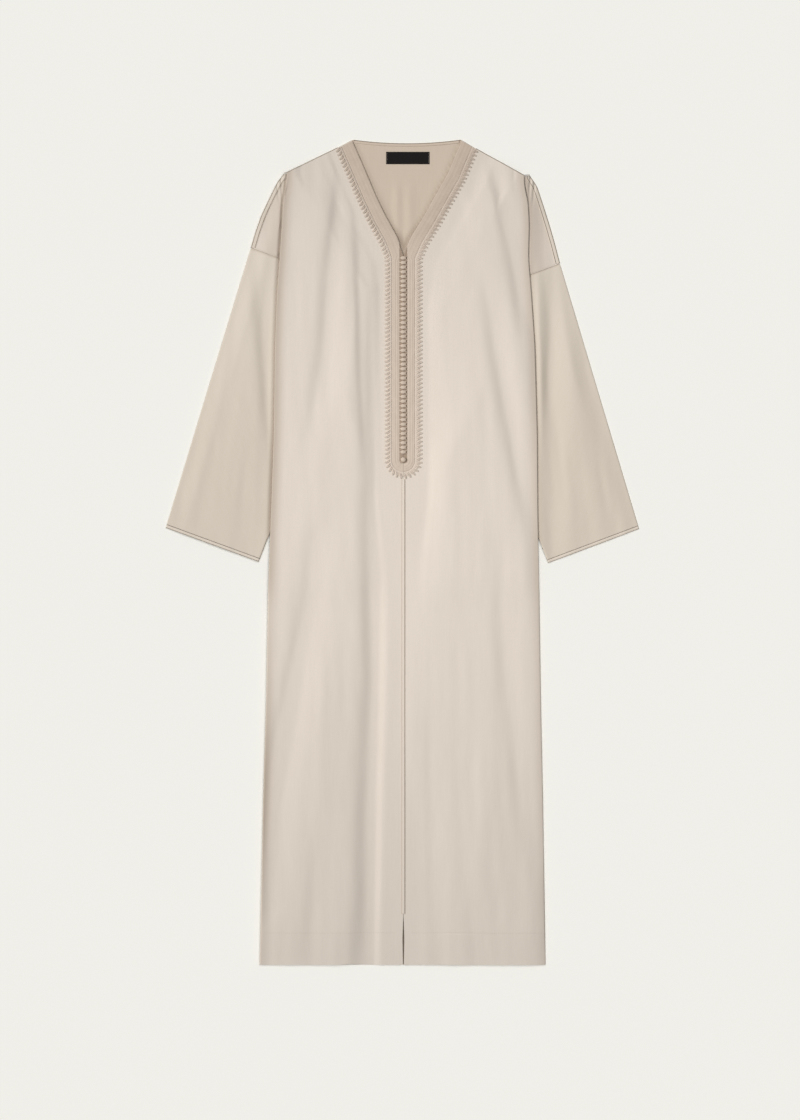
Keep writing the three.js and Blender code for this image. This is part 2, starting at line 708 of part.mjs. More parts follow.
// Keep a trim point on its own side of the centre line, at least a distance away
function clearOfCentre(side, [x, y], distance = SEAM_GAP / 2) {
  const limit = CENTRE_X + side.sign * distance;
  return [side.sign * Math.max(side.sign * x, side.sign * limit), y];
}

// A flat strip on the bed of the front: plan points and faces, raised by the bed's height
function bedPlate(plan, faces, lift = SEAM_GAP, thickness = TRIM) {
  const bottom = plan.map(([x, y]) => [x, y, atHeight(BED, y, 'height') + CLOTH / 2 + lift]);
  const top = bottom.map(([x, y, z]) => [x, y, z + thickness]);
  return closedWall(top, bottom, faces);
}

function plainBand(side) {
  const stations = trimStations(side);
  const stripes = stations.map((station) => {
    const inPlacket = station.base[1] < V_POINT_Y - 1;
    const innerOffset = inPlacket ? BUTTON_CHANNEL : -BAND_OVERHANG;
    const inner = stationPoint(station, innerOffset);
    const clearance = station.base[1] > TRIM_ARC_Y ? BUTTON_CHANNEL : SEAM_GAP / 2;
    const outer = clearOfCentre(side, stationPoint(station, BAND_WIDTH));
    return [clearOfCentre(side, inner, clearance), outer];
  });
  const faces = gridFaces(stripes.map((row) => row.length), 2, side.sign < 0);
  return bedPlate(stripes.flat(), faces);
}

// Station at a distance along the trim, measured where the teeth start
function stationAlong(stations, distance) {
  let left = distance;
  for (let i = 0; i + 1 < stations.length; i += 1) {
    const from = stationPoint(stations[i], EDGING_ROOT);
    const to = stationPoint(stations[i + 1], EDGING_ROOT);
    const length = Math.hypot(to[0] - from[0], to[1] - from[1]);
    if (left <= length || i + 2 === stations.length) {
      const share = clamp01(left / length);
      return {
        base: mixPoint(stations[i].base, stations[i + 1].base, share),
        out: mixPoint(stations[i].out, stations[i + 1].out, share),
      };
    }
    left -= length;
  }
  return stations.at(-1);
}

function trimLength(stations) {
  let length = 0;
  for (let i = 0; i + 1 < stations.length; i += 1) {
    const from = stationPoint(stations[i], EDGING_ROOT);
    const to = stationPoint(stations[i + 1], EDGING_ROOT);
    length += Math.hypot(to[0] - from[0], to[1] - from[1]);
  }
  return length;
}

// Braided edging with short flat-tipped teeth, one inner point and three outer ones a tooth
function toothedEdging(side) {
  const stations = trimStations(side);
  const length = trimLength(stations);
  const teeth = Math.round(length / TOOTH_PITCH);
  const plan = [];
  const faces = [];
  const addPoint = (share, offset) => {
    const station = stationAlong(stations, share * length);
    plan.push(clearOfCentre(side, stationPoint(station, offset)));
  };
  const addFace = (a, b, c) => faces.push(side.sign > 0 ? [a, b, c] : [a, c, b]);
  for (let tooth = 0; tooth <= teeth; tooth += 1) {
    addPoint(tooth / teeth, EDGING_START);
    addPoint(tooth / teeth, EDGING_ROOT);
    if (tooth === teeth) break;
    addPoint((tooth + 0.28) / teeth, EDGING_TIP);
    addPoint((tooth + 0.72) / teeth, EDGING_TIP);
    const first = tooth * 4;
    addFace(first, first + 4, first + 5);
    addFace(first, first + 5, first + 1);
    addFace(first + 1, first + 5, first + 3);
    addFace(first + 1, first + 3, first + 2);
  }
  return bedPlate(plan, faces);
}

for (const side of Object.values(SIDES)) {
  addPiece(`neck_band_${side.name}`, plainBand(side), COLORS.trim, 0.7);
  addPiece(`toothed_edging_${side.name}`, toothedEdging(side), COLORS.trim, 0.8);
}

// Shoulder ribbons: the outer strip of each front's extension, moved out
function shoulderRibbon(side) {
  const rows = frontRows[side.name].slice(0, CORNER_ROW + 1).map((row) => row.slice(-2));
  const points = rows.flat().map((point) => point.outer);
  const bottom = points.map(([x, y, z]) => [x, y, z + SEAM_GAP]);
  const top = points.map(([x, y, z]) => [x, y, z + SEAM_GAP + TRIM]);
  return closedWall(top, bottom, gridFaces(rows.map(() => 2), 2, side.sign < 0));
}

for (const side of Object.values(SIDES)) {
  addPiece(`shoulder_ribbon_${side.name}`, shoulderRibbon(side), COLORS.trim);
}

// Braid over the centre front seam
function seamBraid() {
  const top = TRIM_ARC_Y - EDGING_TIP - SEAM_GAP;
  const rows = [top, 120, 65, 10, -75, -430, -570, SLIT_TOP_Y].map((y) => [
    [CENTRE_X - BRAID_WIDTH / 2, y],
    [CENTRE_X + BRAID_WIDTH / 2, y],
  ]);
  return bedPlate(rows.flat(), gridFaces(rows.map(() => 2), 2, false));
}

addPiece('centre_seam_braid', seamBraid(), COLORS.trim, 0.8);

// Binding on the inside of the back neck, and the blank label below it
function neckBinding() {
  const { left, right } = SIDES;
  const steps = 8;
  const rows = [0, 1].map((edge) => Array.from({ length: steps + 1 }, (_, i) => {
    const x = mix(left.neck[0] + NECK_BINDING.end, right.neck[0] - NECK_BINDING.end, i / steps);
    return [x, backNeckY(x) - 0.4 - edge * NECK_BINDING.width];
  }));
  const plan = rows.flat();
  const bottomZ = CLOTH + SEAM_GAP;
  const bottom = plan.map(([x, y]) => [x, y, bottomZ]);
  const top = plan.map(([x, y]) => [x, y, bottomZ + NECK_BINDING.thickness]);
  return closedWall(top, bottom, gridFaces([steps + 1, steps + 1], steps + 1, false));
}

addPiece('back_neck_binding', neckBinding(), COLORS.trim);

const label = addPiece('neck_label', new THREE.BoxGeometry(LABEL.width, LABEL.height, LABEL.thickness),
  COLORS.label, 0.6);
label.position.set(LABEL.x, LABEL.y, CLOTH + SEAM_GAP + LABEL.thickness / 2);

// Knot buttons down the placket, and the rounder one that ends the row
function addKnot(name, y, size, detail) {
  const geometry = new THREE.SphereGeometry(0.5, ...detail);
  geometry.rotateX(Math.PI / 2);
  geometry.scale(size.across, size.along, size.height);
  const knot = addPiece(name, geometry, COLORS.knot, 0.85);
  const seat = atHeight(BED, y, 'height') + CLOTH / 2 + SEAM_GAP;
  knot.position.set(CENTRE_X, y, seat + size.height / 2);
}

for (let i = 0; i < KNOTS; i += 1) {
  const y = mix(KNOT_TOP_Y, KNOT_BOTTOM_Y, i / (KNOTS - 1));
  addKnot(`knot_button_${String(i + 1).padStart(2, '0')}`, y, KNOT_SIZE, [6, 4]);
}
addKnot('end_button', END_BUTTON.y, {
  across: END_BUTTON.diameter, along: END_BUTTON.diameter, height: END_BUTTON.height,
}, [10, 6]);

export default group;
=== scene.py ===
# The looks of a kandora laid flat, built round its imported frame.
# Shapes are in millimetres, and make_piece turns them into metres. Floor, lights, camera and the few
# sizes that say so are in metres.
import math
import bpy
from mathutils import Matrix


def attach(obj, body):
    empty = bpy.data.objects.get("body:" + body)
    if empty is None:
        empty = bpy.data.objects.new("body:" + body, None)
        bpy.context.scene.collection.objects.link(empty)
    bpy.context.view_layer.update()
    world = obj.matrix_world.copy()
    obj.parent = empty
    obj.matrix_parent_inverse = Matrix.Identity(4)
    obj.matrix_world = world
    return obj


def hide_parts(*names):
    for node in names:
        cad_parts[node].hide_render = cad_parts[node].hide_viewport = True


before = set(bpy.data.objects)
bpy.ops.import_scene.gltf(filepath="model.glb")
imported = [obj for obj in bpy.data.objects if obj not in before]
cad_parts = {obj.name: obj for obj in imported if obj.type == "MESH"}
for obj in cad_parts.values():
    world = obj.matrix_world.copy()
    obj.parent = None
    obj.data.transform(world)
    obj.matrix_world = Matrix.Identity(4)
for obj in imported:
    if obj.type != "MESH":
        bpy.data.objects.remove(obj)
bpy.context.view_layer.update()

from types import SimpleNamespace

import bpy
import numpy as np
from mathutils import Vector

# Sizes shared with the solids
CLOTH = 1.1
LAYER = 1.5
SEAM_GAP = 0.3
CENTRE_X = 1.5
HEM_Y = -702.0
V_POINT_Y = 504.0
BACK_INSET = 12.0
BACK_INSET_SKIRT = 1.5
PUFF = 5.0
SLEEVE_DROP = 26.0
ARMHOLE_LENGTH = 205.0
RAMP_MARGIN = 8.0
CHEST_RAMP = 44.0
CUFF_SLOPE = 0.33
CUFF_INNER_X = 244.0
BAND_WIDTH = 19.5
BAND_OVERHANG = 0.8
BUTTON_CHANNEL = 6.5
EDGING_START = BAND_WIDTH + SEAM_GAP
EDGING_ROOT = 27.3
EDGING_TIP = 32.3
TOOTH_PITCH = 7.1
TRIM_ARC_Y = 156.3
TRIM_CLEAR = EDGING_TIP + 3
CENTRE_CLEAR = 12.0
NECK_SLOPE_STRETCH = 1.08
NECK_SLOPE_SHIFT = 14.0
KNOTS = 43
KNOT_TOP_Y = 500.0
KNOT_BOTTOM_Y = 170.0
KNOT_SIZE = np.array([11.2, 6.6, 5.0])
END_BUTTON_Y = 157.0
END_BUTTON_SIZE = np.array([10.4, 10.4, 6.0])
LABEL = SimpleNamespace(x=9.0, y=670.5, width=74.0, height=21.0)
NECK_BINDING = SimpleNamespace(width=5.0, end=5.0)
CUFF_BINDING = 6.0
RIBBON_WIDTH = 8.0
SLIT_TOP_Y = -615.0
HEM_KINK = SimpleNamespace(x=-88.0, lift=1.4, width=16.0)

# Sizes of the scene's own, finer cloth
LOWEST = 1.9
SOFT = 0.8
SUPPORT_REACH = 26.0
TROUGH_FADE = 0.4
BED_FADE = 0.36
RIM_REACH = 18.0
SLEEVE_TAPER = 34.0
FINE_DEPTH = 0.2
FINE_SLEEVE_DEPTH = 0.16
HEM_STITCH_Y = -649.0
HEM_SHOWS = SimpleNamespace(x=92.0, width=36.0, step=0.2, groove=0.3)
SEED = 7

# Wound balls as shares of the knots' sizes: across, along and up
KNOT_WOUND = (0.84, 1.04, 0.8)
END_BUTTON_WOUND = (0.86, 0.86, 1.0)


def layer_height(count):
    return CLOTH / 2 + count * LAYER


# Front fold edges of the body: y, left, right
FOLD_EDGE = [
    (646, -197, 207), (620, -198, 207), (600, -203, 213), (560, -205, 215.5), (500, -209, 214),
    (440, -213.5, 219), (350, -217, 225), (200, -219, 229), (60, -224, 230), (-80, -229, 233),
    (-250, -232, 235.5), (-420, -237, 239), (-702, -243, 243.5),
]
# Depth of the inward fold at each side
FOLD_DEPTH = [(450, 145), (-702, 150)]
# Neck edge of each front: y, left, right
NECK_EDGE = [
    (700, -86, 101), (643, -62, 77.5), (606, -46.5, 56.5), (570, -29, 36.5), (536, -10, 15.5),
    (V_POINT_Y, CENTRE_X, CENTRE_X),
]
# Height of the flat bed under the trim
BED = [
    (700, layer_height(1)), (V_POINT_Y, 4.8), (190, 4.8), (120, 5.2), (65, 5.9), (10, 6.6),
    (-75, 7.2), (-430, 7.2), (-570, 6.4), (HEM_Y, 5.0),
]
# How far each front stands back from the centre seam along the hem slit
SLIT = [(SLIT_TOP_Y, 0), (-658, 1.5), (HEM_Y, 0.7)]

# Above the underarm a row starts at an inner height and reaches the fold at a lower one.
# The outer ends of its shoulder extension lie on the shoulder line: inner, fold, outer x, outer y.
UPPER_LEFT = [
    (700, 645, -201, 644), (668, 622, -213, 629), (640, 598, -227, 601), (606, 562, -240.5, 572),
    (570, 530, -250, 545), (536, 505, -258, 518),
]
UPPER_RIGHT = [
    (700, 640, 216, 641), (668, 616, 229, 622), (640, 592, 239, 592), (606, 556, 250, 557),
    (570, 522, 259.5, 524), (536, 488, 268, 491),
]
UNDERARM_INNER = 470.0
ARMHOLE_ROWS = [(536, 0), (V_POINT_Y, 0.4), (UNDERARM_INNER, 0.72)]
CREASE_SHARE = [(700, 0), (668, 1 / 7), (640, 2 / 7), (606, 3 / 7), (570, 4 / 7), (536, 5 / 7),
                (V_POINT_Y, 6 / 7), (UNDERARM_INNER, 1)]
FIRST_LEVEL_ROW = 410.0

# tone: each side's share of painted shade along its fold edge
LEFT = SimpleNamespace(
    name="left", sign=-1, column=1, neck=(-86, 702), pleat=(-192, 643), corner=(-258, 518),
    angle=-21, cuff_outer=(-402.8, 41.3), cuff_inner=(-244.5, -16.5), upper=UPPER_LEFT,
    lower_folds=[(V_POINT_Y, 478), (UNDERARM_INNER, 452)], ramp=62.0, neck_lift=0.2,
    swell_from=0.0, swell_reach=50.0, tone=0.72, step_fade=11.0,
    roll=SimpleNamespace(drop=4.6, reach=80.0, end=18.0, power=1.3), rim_rise=0.9,
    wall=SimpleNamespace(rise=3.6, start=1.2, end=4.2), puff=SimpleNamespace(rise=3.6, start=4.0, end=30.0),
)
RIGHT = SimpleNamespace(
    name="right", sign=1, column=2, neck=(101, 702), pleat=(202, 638), corner=(268, 491),
    angle=-159, cuff_outer=(402.8, 39.4), cuff_inner=(248, -18.7), upper=UPPER_RIGHT,
    lower_folds=[(V_POINT_Y, 460), (UNDERARM_INNER, 432)], ramp=100.0, neck_lift=1.6,
    swell_from=22.0, swell_reach=84.0, tone=0.5, step_fade=30.0,
    roll=SimpleNamespace(drop=4.5, reach=36.0, end=2.0, power=2.0), rim_rise=0.0,
    wall=SimpleNamespace(rise=0.9, start=0.4, end=2.6), puff=SimpleNamespace(rise=3.8, start=24.0, end=66.0),
)
SIDES = [LEFT, RIGHT]

# Creases: y, x, depth, width. Troughs have a positive depth, ridges a negative one.
FRONT_CREASES = [
    [(690, -98, 1, 12), (650, -103, 1.6, 12), (598, -109, 2.2, 13), (560, -115, 3.2, 13),
     (496, -123, 4.2, 13),
     (377, -130, 4.8, 15), (300, -137, 4.8, 16), (258, -146, 4, 16), (170, -160, 0.5, 16)],
    [(535, -76, 0, 8), (495, -73, 2, 9), (437, -71, 4, 9), (309, -68, 4, 10),
     (200, -62, 3.5, 12), (139, -60, 3.6, 14), (20, -57, 4.6, 16), (-100, -52, 5.8, 18),
     (-218, -50, 6.4, 19), (-337, -56, 6.8, 20), (-455, -59, 6.8, 20), (-575, -60, 6.8, 20),
     (-702, -66, 5.8, 21)],
    [(60, -146, 0, 16), (20, -150, 3, 17), (-100, -162, 5, 18), (-218, -184, 5.5, 18),
     (-337, -208, 5.5, 17), (-420, -219, 4.5, 15), (-500, -222, 3.5, 14), (-600, -225, 2, 14)],
    [(650, 154, 0, 14), (598, 171, 3.8, 14), (496, 189, 5.2, 15), (420, 201, 3.6, 15),
     (375, 207, 1.2, 15), (340, 210, 0, 15)],
    [(470, 140, 0, 13), (437, 146, 2.5, 14), (377, 153, 3.5, 15), (258, 175, 5, 16),
     (139, 198, 5, 16), (60, 212, 2.5, 15), (10, 218, 0, 14)],
    [(60, 160, 0, 16), (0, 164, 1.5, 16), (-100, 170, 2.2, 17), (-218, 178, 2.8, 18),
     (-362, 196, 2.8, 17), (-510, 216, 1.2, 16), (-570, 224, 0, 16)],
    [(-240, 44, 0, 13), (-337, 48, 1.2, 14), (-575, 54, 1.6, 15), (-702, 60, 1.8, 16)],
    [(-420, -140, 0, 15), (-520, -146, 1.2, 16), (-640, -158, 1.8, 15), (-702, -162, 1.8, 15)],
    [(-560, 118, 0, 12), (-640, 124, 1, 12), (-702, 128, 1.6, 13)],
]
# Rounded steps that fall to their right, up to the trim: y, crest, height, width of the right side
CHEST_STEPS = [
    [(694, -112, 0.6, 10), (665, -117, 1.7, 11), (630, -121, 1.7, 11), (590, -125, 1.7, 12),
     (540, -131, 1.4, 12), (490, -138, 0, 12)],
    [(632, -92, 0, 8), (606, -92, 1, 8), (560, -89, 1.7, 8), (470, -86, 1.8, 8),
     (377, -81, 1.7, 9), (292, -78, 1.8, 9), (200, -76, 1.2, 11), (120, -74, 0, 12)],
    [(694, 122, 0.5, 14), (668, 129, 2, 14), (628, 143, 2.8, 14), (585, 154, 2, 14),
     (530, 168, 0, 14)],
]
STEP_BREADTH = 3.2
# A crease falls steeply on its left side and rises gently on its right
LEFT_STEEP = 0.9
RIGHT_GENTLE = 1.7
SLEEVE_CREASES = [
    [(510, -248, 0.8, 13), (422, -240, 4.2, 15), (335, -234, 4.4, 13), (246, -229, 3.6, 10),
     (177, -225, 1.4, 7), (130, -224, 0, 7)],
    [(190, -262, 0, 13), (80, -268, 1.5, 14), (0, -272, 1, 14)],
    [(430, -276, 0, 12), (330, -286, 1.8, 13), (200, -314, 2, 15), (60, -346, 1.6, 17)],
    [(240, -330, 0, 12), (160, -352, 1.6, 13), (60, -378, 1.2, 13)],
    [(500, 232, 0, 8), (440, 233, -2.6, 8.5), (380, 232, -3.2, 8.5), (280, 232, -3, 7),
     (220, 233, -1.8, 6), (150, 234, 0, 6)],
    [(485, 258, 0.8, 10), (380, 254, 1.4, 12), (280, 248, 1.4, 10), (200, 246, 0, 9)],
    [(400, 290, 0, 12), (300, 306, 1.8, 14), (180, 330, 2, 15), (40, 358, 1.6, 17)],
    [(180, 290, 0, 13), (100, 300, 1.6, 14), (0, 312, 1.4, 15)],
]
# Soft ridges that all the layers share, so that they show as troughs from underneath
SHARED_RIDGES = [
    [(560, -60, 0, 14), (470, -66, 1.4, 15), (330, -84, 1.8, 17), (200, -90, 0, 16)],
    [(420, 88, 0, 18), (300, 84, 0.9, 20), (120, 98, 0.7, 22), (40, 104, 0, 22)],
    [(60, 24, 0, 18), (-90, 30, 1.6, 18), (-300, 22, 1.9, 20), (-470, 34, 0, 20)],
    [(-120, -126, 0, 15), (-240, -134, 1.7, 16), (-420, -142, 1.5, 18), (-600, -150, 0, 18)],
    [(-260, 132, 0, 16), (-400, 140, 1.8, 18), (-560, 128, 1.2, 18), (-680, 132, 0.5, 16)],
    [(640, 96, 0, 12), (590, 118, 1.2, 13), (520, 128, 0, 14)],
]


def mix(start, end, share):
    return start + (end - start) * share


def smooth(start, end, value):
    share = np.clip((value - start) / (end - start), 0, 1)
    return share * share * (3 - 2 * share)


def bell(distance, width):
    """A smooth bump: 1 at no distance, and close to 0 at twice the width."""
    return np.exp(-(distance / width) ** 2)


def mix_points(start, end, share):
    return mix(start[0], end[0], share), mix(start[1], end[1], share)


def stacked(x, y, z):
    return np.stack([x, y, z], -1)


def distances_along(points):
    """How far each point of a path lies from its start."""
    return np.concatenate([[0], np.cumsum(np.linalg.norm(np.diff(points, axis=0), axis=1))])


def at_height(table, y, index, blur=0.0):
    """One column of a table at a height, its corners rounded off over a blur."""
    rows = np.array(table, float)[::-1]
    offsets = (-1, -0.5, 0, 0.5, 1) if blur else (0,)
    found = [np.interp(np.asarray(y, float) + blur * o, rows[:, 0], rows[:, index]) for o in offsets]
    return sum(found) / len(found)


def crease_depth(creases, x, y):
    depth = 0.0
    for crease in creases:
        away = (x - at_height(crease, y, 1, 30)) / at_height(crease, y, 3)
        away = away / np.where(away < 0, LEFT_STEEP, RIGHT_GENTLE)
        past = np.maximum(0, np.maximum(y - crease[0][0], crease[-1][0] - y)) / 30
        depth = depth + at_height(crease, y, 2, 20) * np.exp(-away * away - past * past)
    return depth


def step_height(x, y):
    height = 0.0
    for step in CHEST_STEPS:
        away = (x - at_height(step, y, 1, 30)) / at_height(step, y, 3)
        away = away / np.where(away < 0, STEP_BREADTH, 1)
        height = height + at_height(step, y, 2, 20) * np.exp(-away * away)
    return height


def streaks(x, y, pitch, count, seed, slant=0.08):
    """Uneven soft streaks that run down the cloth, between about -1 and 1."""
    numbers = np.random.default_rng(seed)
    total = 0.0
    for _ in range(count):
        across = 2 * math.pi / (pitch * numbers.uniform(0.7, 1.6))
        along = across * numbers.uniform(-slant, slant)
        swell = 2 * math.pi / numbers.uniform(150, 420)
        phase = numbers.uniform(0, 2 * math.pi, 3)
        wave = np.sin(across * x + along * y + phase[0] + 0.9 * np.sin(swell * y + phase[1]))
        total = total + wave * (0.6 + 0.4 * np.sin(swell * y * 1.7 + phase[2]))
    return total / math.sqrt(count)


def sleeve_in_fold(y):
    return smooth(-110, -30, y)


def fold_x(side, y):
    return at_height(FOLD_EDGE, y, side.column, 12)


def turn_height(y):
    return mix(layer_height(2), layer_height(4), sleeve_in_fold(y))


def armhole_direction(side):
    return math.cos(math.radians(side.angle)), math.sin(math.radians(side.angle))


def armhole_point(side, share):
    dx, dy = armhole_direction(side)
    return side.corner[0] + dx * ARMHOLE_LENGTH * share, side.corner[1] + dy * ARMHOLE_LENGTH * share


def crease_x(side, y):
    underarm = armhole_point(side, 1)
    below = fold_x(side, y) - side.sign * at_height(FOLD_DEPTH, y, 1)
    share = np.clip((y - underarm[1]) / (side.pleat[1] - underarm[1]), 0, 1)
    return np.where(y < underarm[1], below, mix(underarm[0], side.pleat[0], share))


def bed_edge_x(side, y):
    neck = at_height(NECK_EDGE, y + NECK_SLOPE_SHIFT, side.column)
    slope = neck + side.sign * TRIM_CLEAR * NECK_SLOPE_STRETCH
    level = CENTRE_X + side.sign * mix(CENTRE_CLEAR, TRIM_CLEAR, smooth(-60, 122, y))
    return mix(level, slope, smooth(V_POINT_Y - 16, V_POINT_Y, y))


def shared_lift(x, y):
    return crease_depth(SHARED_RIDGES, x, y)


def under_height(side, x, y):
    outside = side.sign * (x - fold_x(side, y))
    return mix(layer_height(2), layer_height(0), smooth(0, SLEEVE_DROP, outside))


# Short creases gathered into each shoulder tip: start, end, depth, width
GATHERS = {
    "left": [((-214, 630), (-209, 590), 2, 1.8), ((-207, 640), (-204, 596), 2.2, 1.8),
             ((-187, 647), (-199.5, 604), 3, 2.2), ((-180, 650), (-181, 612), 1, 2.6)],
    "right": [((225, 630), (221, 588), 2, 1.8), ((218, 638), (214, 594), 2.2, 1.8),
              ((199, 644), (213, 602), 3, 2.2), ((191, 649), (190, 610), 1, 2.6)],
}


def gathers(side, x, y):
    depth = 0.0
    for start, end, deep, width in GATHERS[side.name]:
        run = np.subtract(end, start)
        length = math.hypot(*run)
        along = ((x - start[0]) * run[0] + (y - start[1]) * run[1]) / length
        away = ((x - start[0]) * run[1] - (y - start[1]) * run[0]) / length
        fade = smooth(length * 1.15, length * 0.35, along) * smooth(-8, 0, along)
        depth = depth + deep * fade * bell(away, width)
    return depth


def neck_lift(side, x, y):
    """The edges of the V stand a little off the inside of the back."""
    from_edge = side.sign * (x - at_height(NECK_EDGE, y, side.column))
    down_the_v = smooth(V_POINT_Y, 556, y) * mix(1, 0.35, smooth(662, 700, y))
    return side.neck_lift * smooth(36, 0, from_edge) * down_the_v


def higher(a, b):
    """The higher of two heights, with a soft change from one to the other."""
    return (a + b + np.sqrt((a - b) ** 2 + SOFT ** 2)) / 2


def edge_roll(side, from_fold, y):
    """How far the front sinks towards its fold edge, less the small rise at the left one."""
    roll = side.roll
    near = np.clip((roll.reach - from_fold) / (roll.reach - roll.end), 0, 1)
    rim = np.clip(1 - from_fold / RIM_REACH, 0, 1)
    drop = roll.drop * near ** roll.power - side.rim_rise * rim * rim
    return mix(0.6, 1, sleeve_in_fold(y)) * drop


def front_height(side, x, y):
    """Mid height of the front cloth, with the finer creases that the solids leave out."""
    bed = at_height(BED, y, 1) + neck_lift(side, x, y)
    out = side.sign * x
    bed_end = side.sign * bed_edge_x(side, y)
    ramp_end = np.maximum(bed_end + RAMP_MARGIN, side.sign * crease_x(side, y) - RAMP_MARGIN)
    ramp = side.ramp + CHEST_RAMP * smooth(480, 600, y)
    ramp_start = np.maximum(bed_end, ramp_end - ramp)
    share = smooth(ramp_start, ramp_end, out)
    folded = turn_height(y) + LAYER
    high_up = smooth(120, 330, y)
    puff = PUFF * smooth(ramp_start + side.swell_from * high_up, ramp_end + side.swell_reach * high_up, out)
    hem_fade = mix(0.7, 1, smooth(HEM_Y, HEM_Y + 60, y))
    shoulder_fade = mix(0.35, 1, smooth(690, 600, y))
    fold_out = side.sign * fold_x(side, y)
    roll = edge_roll(side, fold_out - out, y)
    trough = crease_depth(FRONT_CREASES, x, y) * smooth(0, TROUGH_FADE, share)
    fine = FINE_DEPTH * streaks(x, y, 34, 6, SEED) - gathers(side, x, y)
    wanted = mix(bed, folded, share) + puff * hem_fade * shoulder_fade - roll - trough + fine * share
    support = mix(LOWEST, folded, smooth(ramp_end - SUPPORT_REACH, ramp_end + 2, out))
    raised = mix(bed, higher(wanted, support), smooth(0, BED_FADE, share))
    shows = bell(x - HEM_SHOWS.x, HEM_SHOWS.width)
    hem_fold = HEM_SHOWS.step * shows * smooth(HEM_STITCH_Y + 1.2, HEM_STITCH_Y - 1.2, y)
    hem_line = HEM_SHOWS.groove * shows * bell(y - HEM_STITCH_Y - 1.5, 1.4)
    steps = step_height(x, y) * smooth(0, side.step_fade, out - bed_end) * smooth(30, 60, fold_out - out)
    return raised + steps + hem_fold - hem_line + shared_lift(x, y)


def from_outer_edge(side, x, y):
    """Distance in from the outer edge of the shoulder extension and the sleeve."""
    tip = side.upper[0][2:]
    found = []
    for start, end in ((tip, side.corner), (side.corner, side.cuff_outer)):
        run = np.subtract(end, start)
        found.append(side.sign * ((x - start[0]) * run[1] - (y - start[1]) * run[0]) / np.hypot(*run))
    return np.minimum(*found)


def over_height(side, x, y):
    """Mid height of the upper sleeve wall and of the front's shoulder extension."""
    outside = side.sign * (x - fold_x(side, y))
    tapered = mix(0.2, 1, smooth(0, SLEEVE_TAPER, from_outer_edge(side, x, y)))
    cuff_fade = mix(0.45, 1, smooth(-20, 90, y - CUFF_SLOPE * (np.abs(x) - CUFF_INNER_X)))
    wall, swell = side.wall, side.puff
    puff = (wall.rise * smooth(wall.start, wall.end, outside)
            + swell.rise * smooth(swell.start, swell.end, outside))
    fine = streaks(x, y, 24, 6, SEED + side.column, 0.2) * smooth(4, 20, outside)
    troughs = crease_depth(SLEEVE_CREASES, x, y) * smooth(1, 9, outside)
    raised = puff * tapered * cuff_fade + FINE_SLEEVE_DEPTH * fine - troughs
    return under_height(side, x, y) + LAYER + np.maximum(0, raised)


def fold_row(side, inner):
    """Height at which a row that starts at an inner height meets the fold."""
    pairs = [(row[0], row[1]) for row in side.upper] + side.lower_folds
    table = pairs + [(FIRST_LEVEL_ROW, FIRST_LEVEL_ROW), (HEM_Y, HEM_Y)]
    return at_height(table, inner, 1)


def outer_point(side, inner):
    share = at_height(ARMHOLE_ROWS, inner, 1)
    on_seam = armhole_point(side, share)
    on_line = at_height(side.upper, inner, 2, 6), at_height(side.upper, inner, 3, 6)
    above = inner > ARMHOLE_ROWS[0][0]
    return np.where(above, on_line[0], on_seam[0]), np.where(above, on_line[1], on_seam[1])


def crease_point(side, inner):
    """Bottom of the inward fold for a row: the pleat from the shoulder tip, then the side seam."""
    share = at_height(CREASE_SHARE, inner, 1)
    underarm = armhole_point(side, 1)
    pleat = mix_points(side.pleat, underarm, share)
    level_y = fold_row(side, inner)
    level_x = fold_x(side, level_y) - side.sign * at_height(FOLD_DEPTH, level_y, 1)
    down = smooth(UNDERARM_INNER, FIRST_LEVEL_ROW, inner)
    return mix_points(pleat, (level_x, level_y), down)


# Mesh building: a sheet is a grid of outer and inner points, closed into a thin wall


def turn(x, y, out, from_z, to_z, outer_wide, steps):
    """Outer and inner points of a half turn between two levels, without its ends."""
    radius = np.abs(from_z - to_z) / 2
    middle = (from_z + to_z) / 2
    start = np.sign(from_z - to_z) * math.pi / 2
    outer, inner = [], []
    for share in np.linspace(1, -1, steps + 2)[1:-1]:
        points = []
        for rho in (radius + CLOTH / 2, radius - CLOTH / 2):
            reach = rho * np.cos(start * share)
            points.append(stacked(x + out[0] * reach, y + out[1] * reach,
                                  middle + rho * np.sin(start * share)))
        wide, narrow = points
        outer.append(wide if outer_wide else narrow)
        inner.append(narrow if outer_wide else wide)
    return np.stack(outer, 1), np.stack(inner, 1)


def level(x, y, z, facing):
    """Outer and inner points of near level cloth: facing is 1 when its outer side looks up."""
    return stacked(x, y, z + facing * CLOTH / 2), stacked(x, y, z - facing * CLOTH / 2)


def grid_quads(rows, columns, counts=None, ring=False):
    """Quads of a grid, only where both rows reach their column."""
    i = np.arange(rows - 1)[:, None]
    j = np.arange(columns if ring else columns - 1)[None, :]
    after = (j + 1) % columns
    quads = np.stack([i * columns + j, (i + 1) * columns + j,
                      (i + 1) * columns + after, i * columns + after], -1)
    if counts is None:
        return quads.reshape(-1, 4)
    reach = np.minimum(counts[:-1], counts[1:])[:, None]
    return quads[(j + 1 < reach) & np.ones_like(i, bool)]


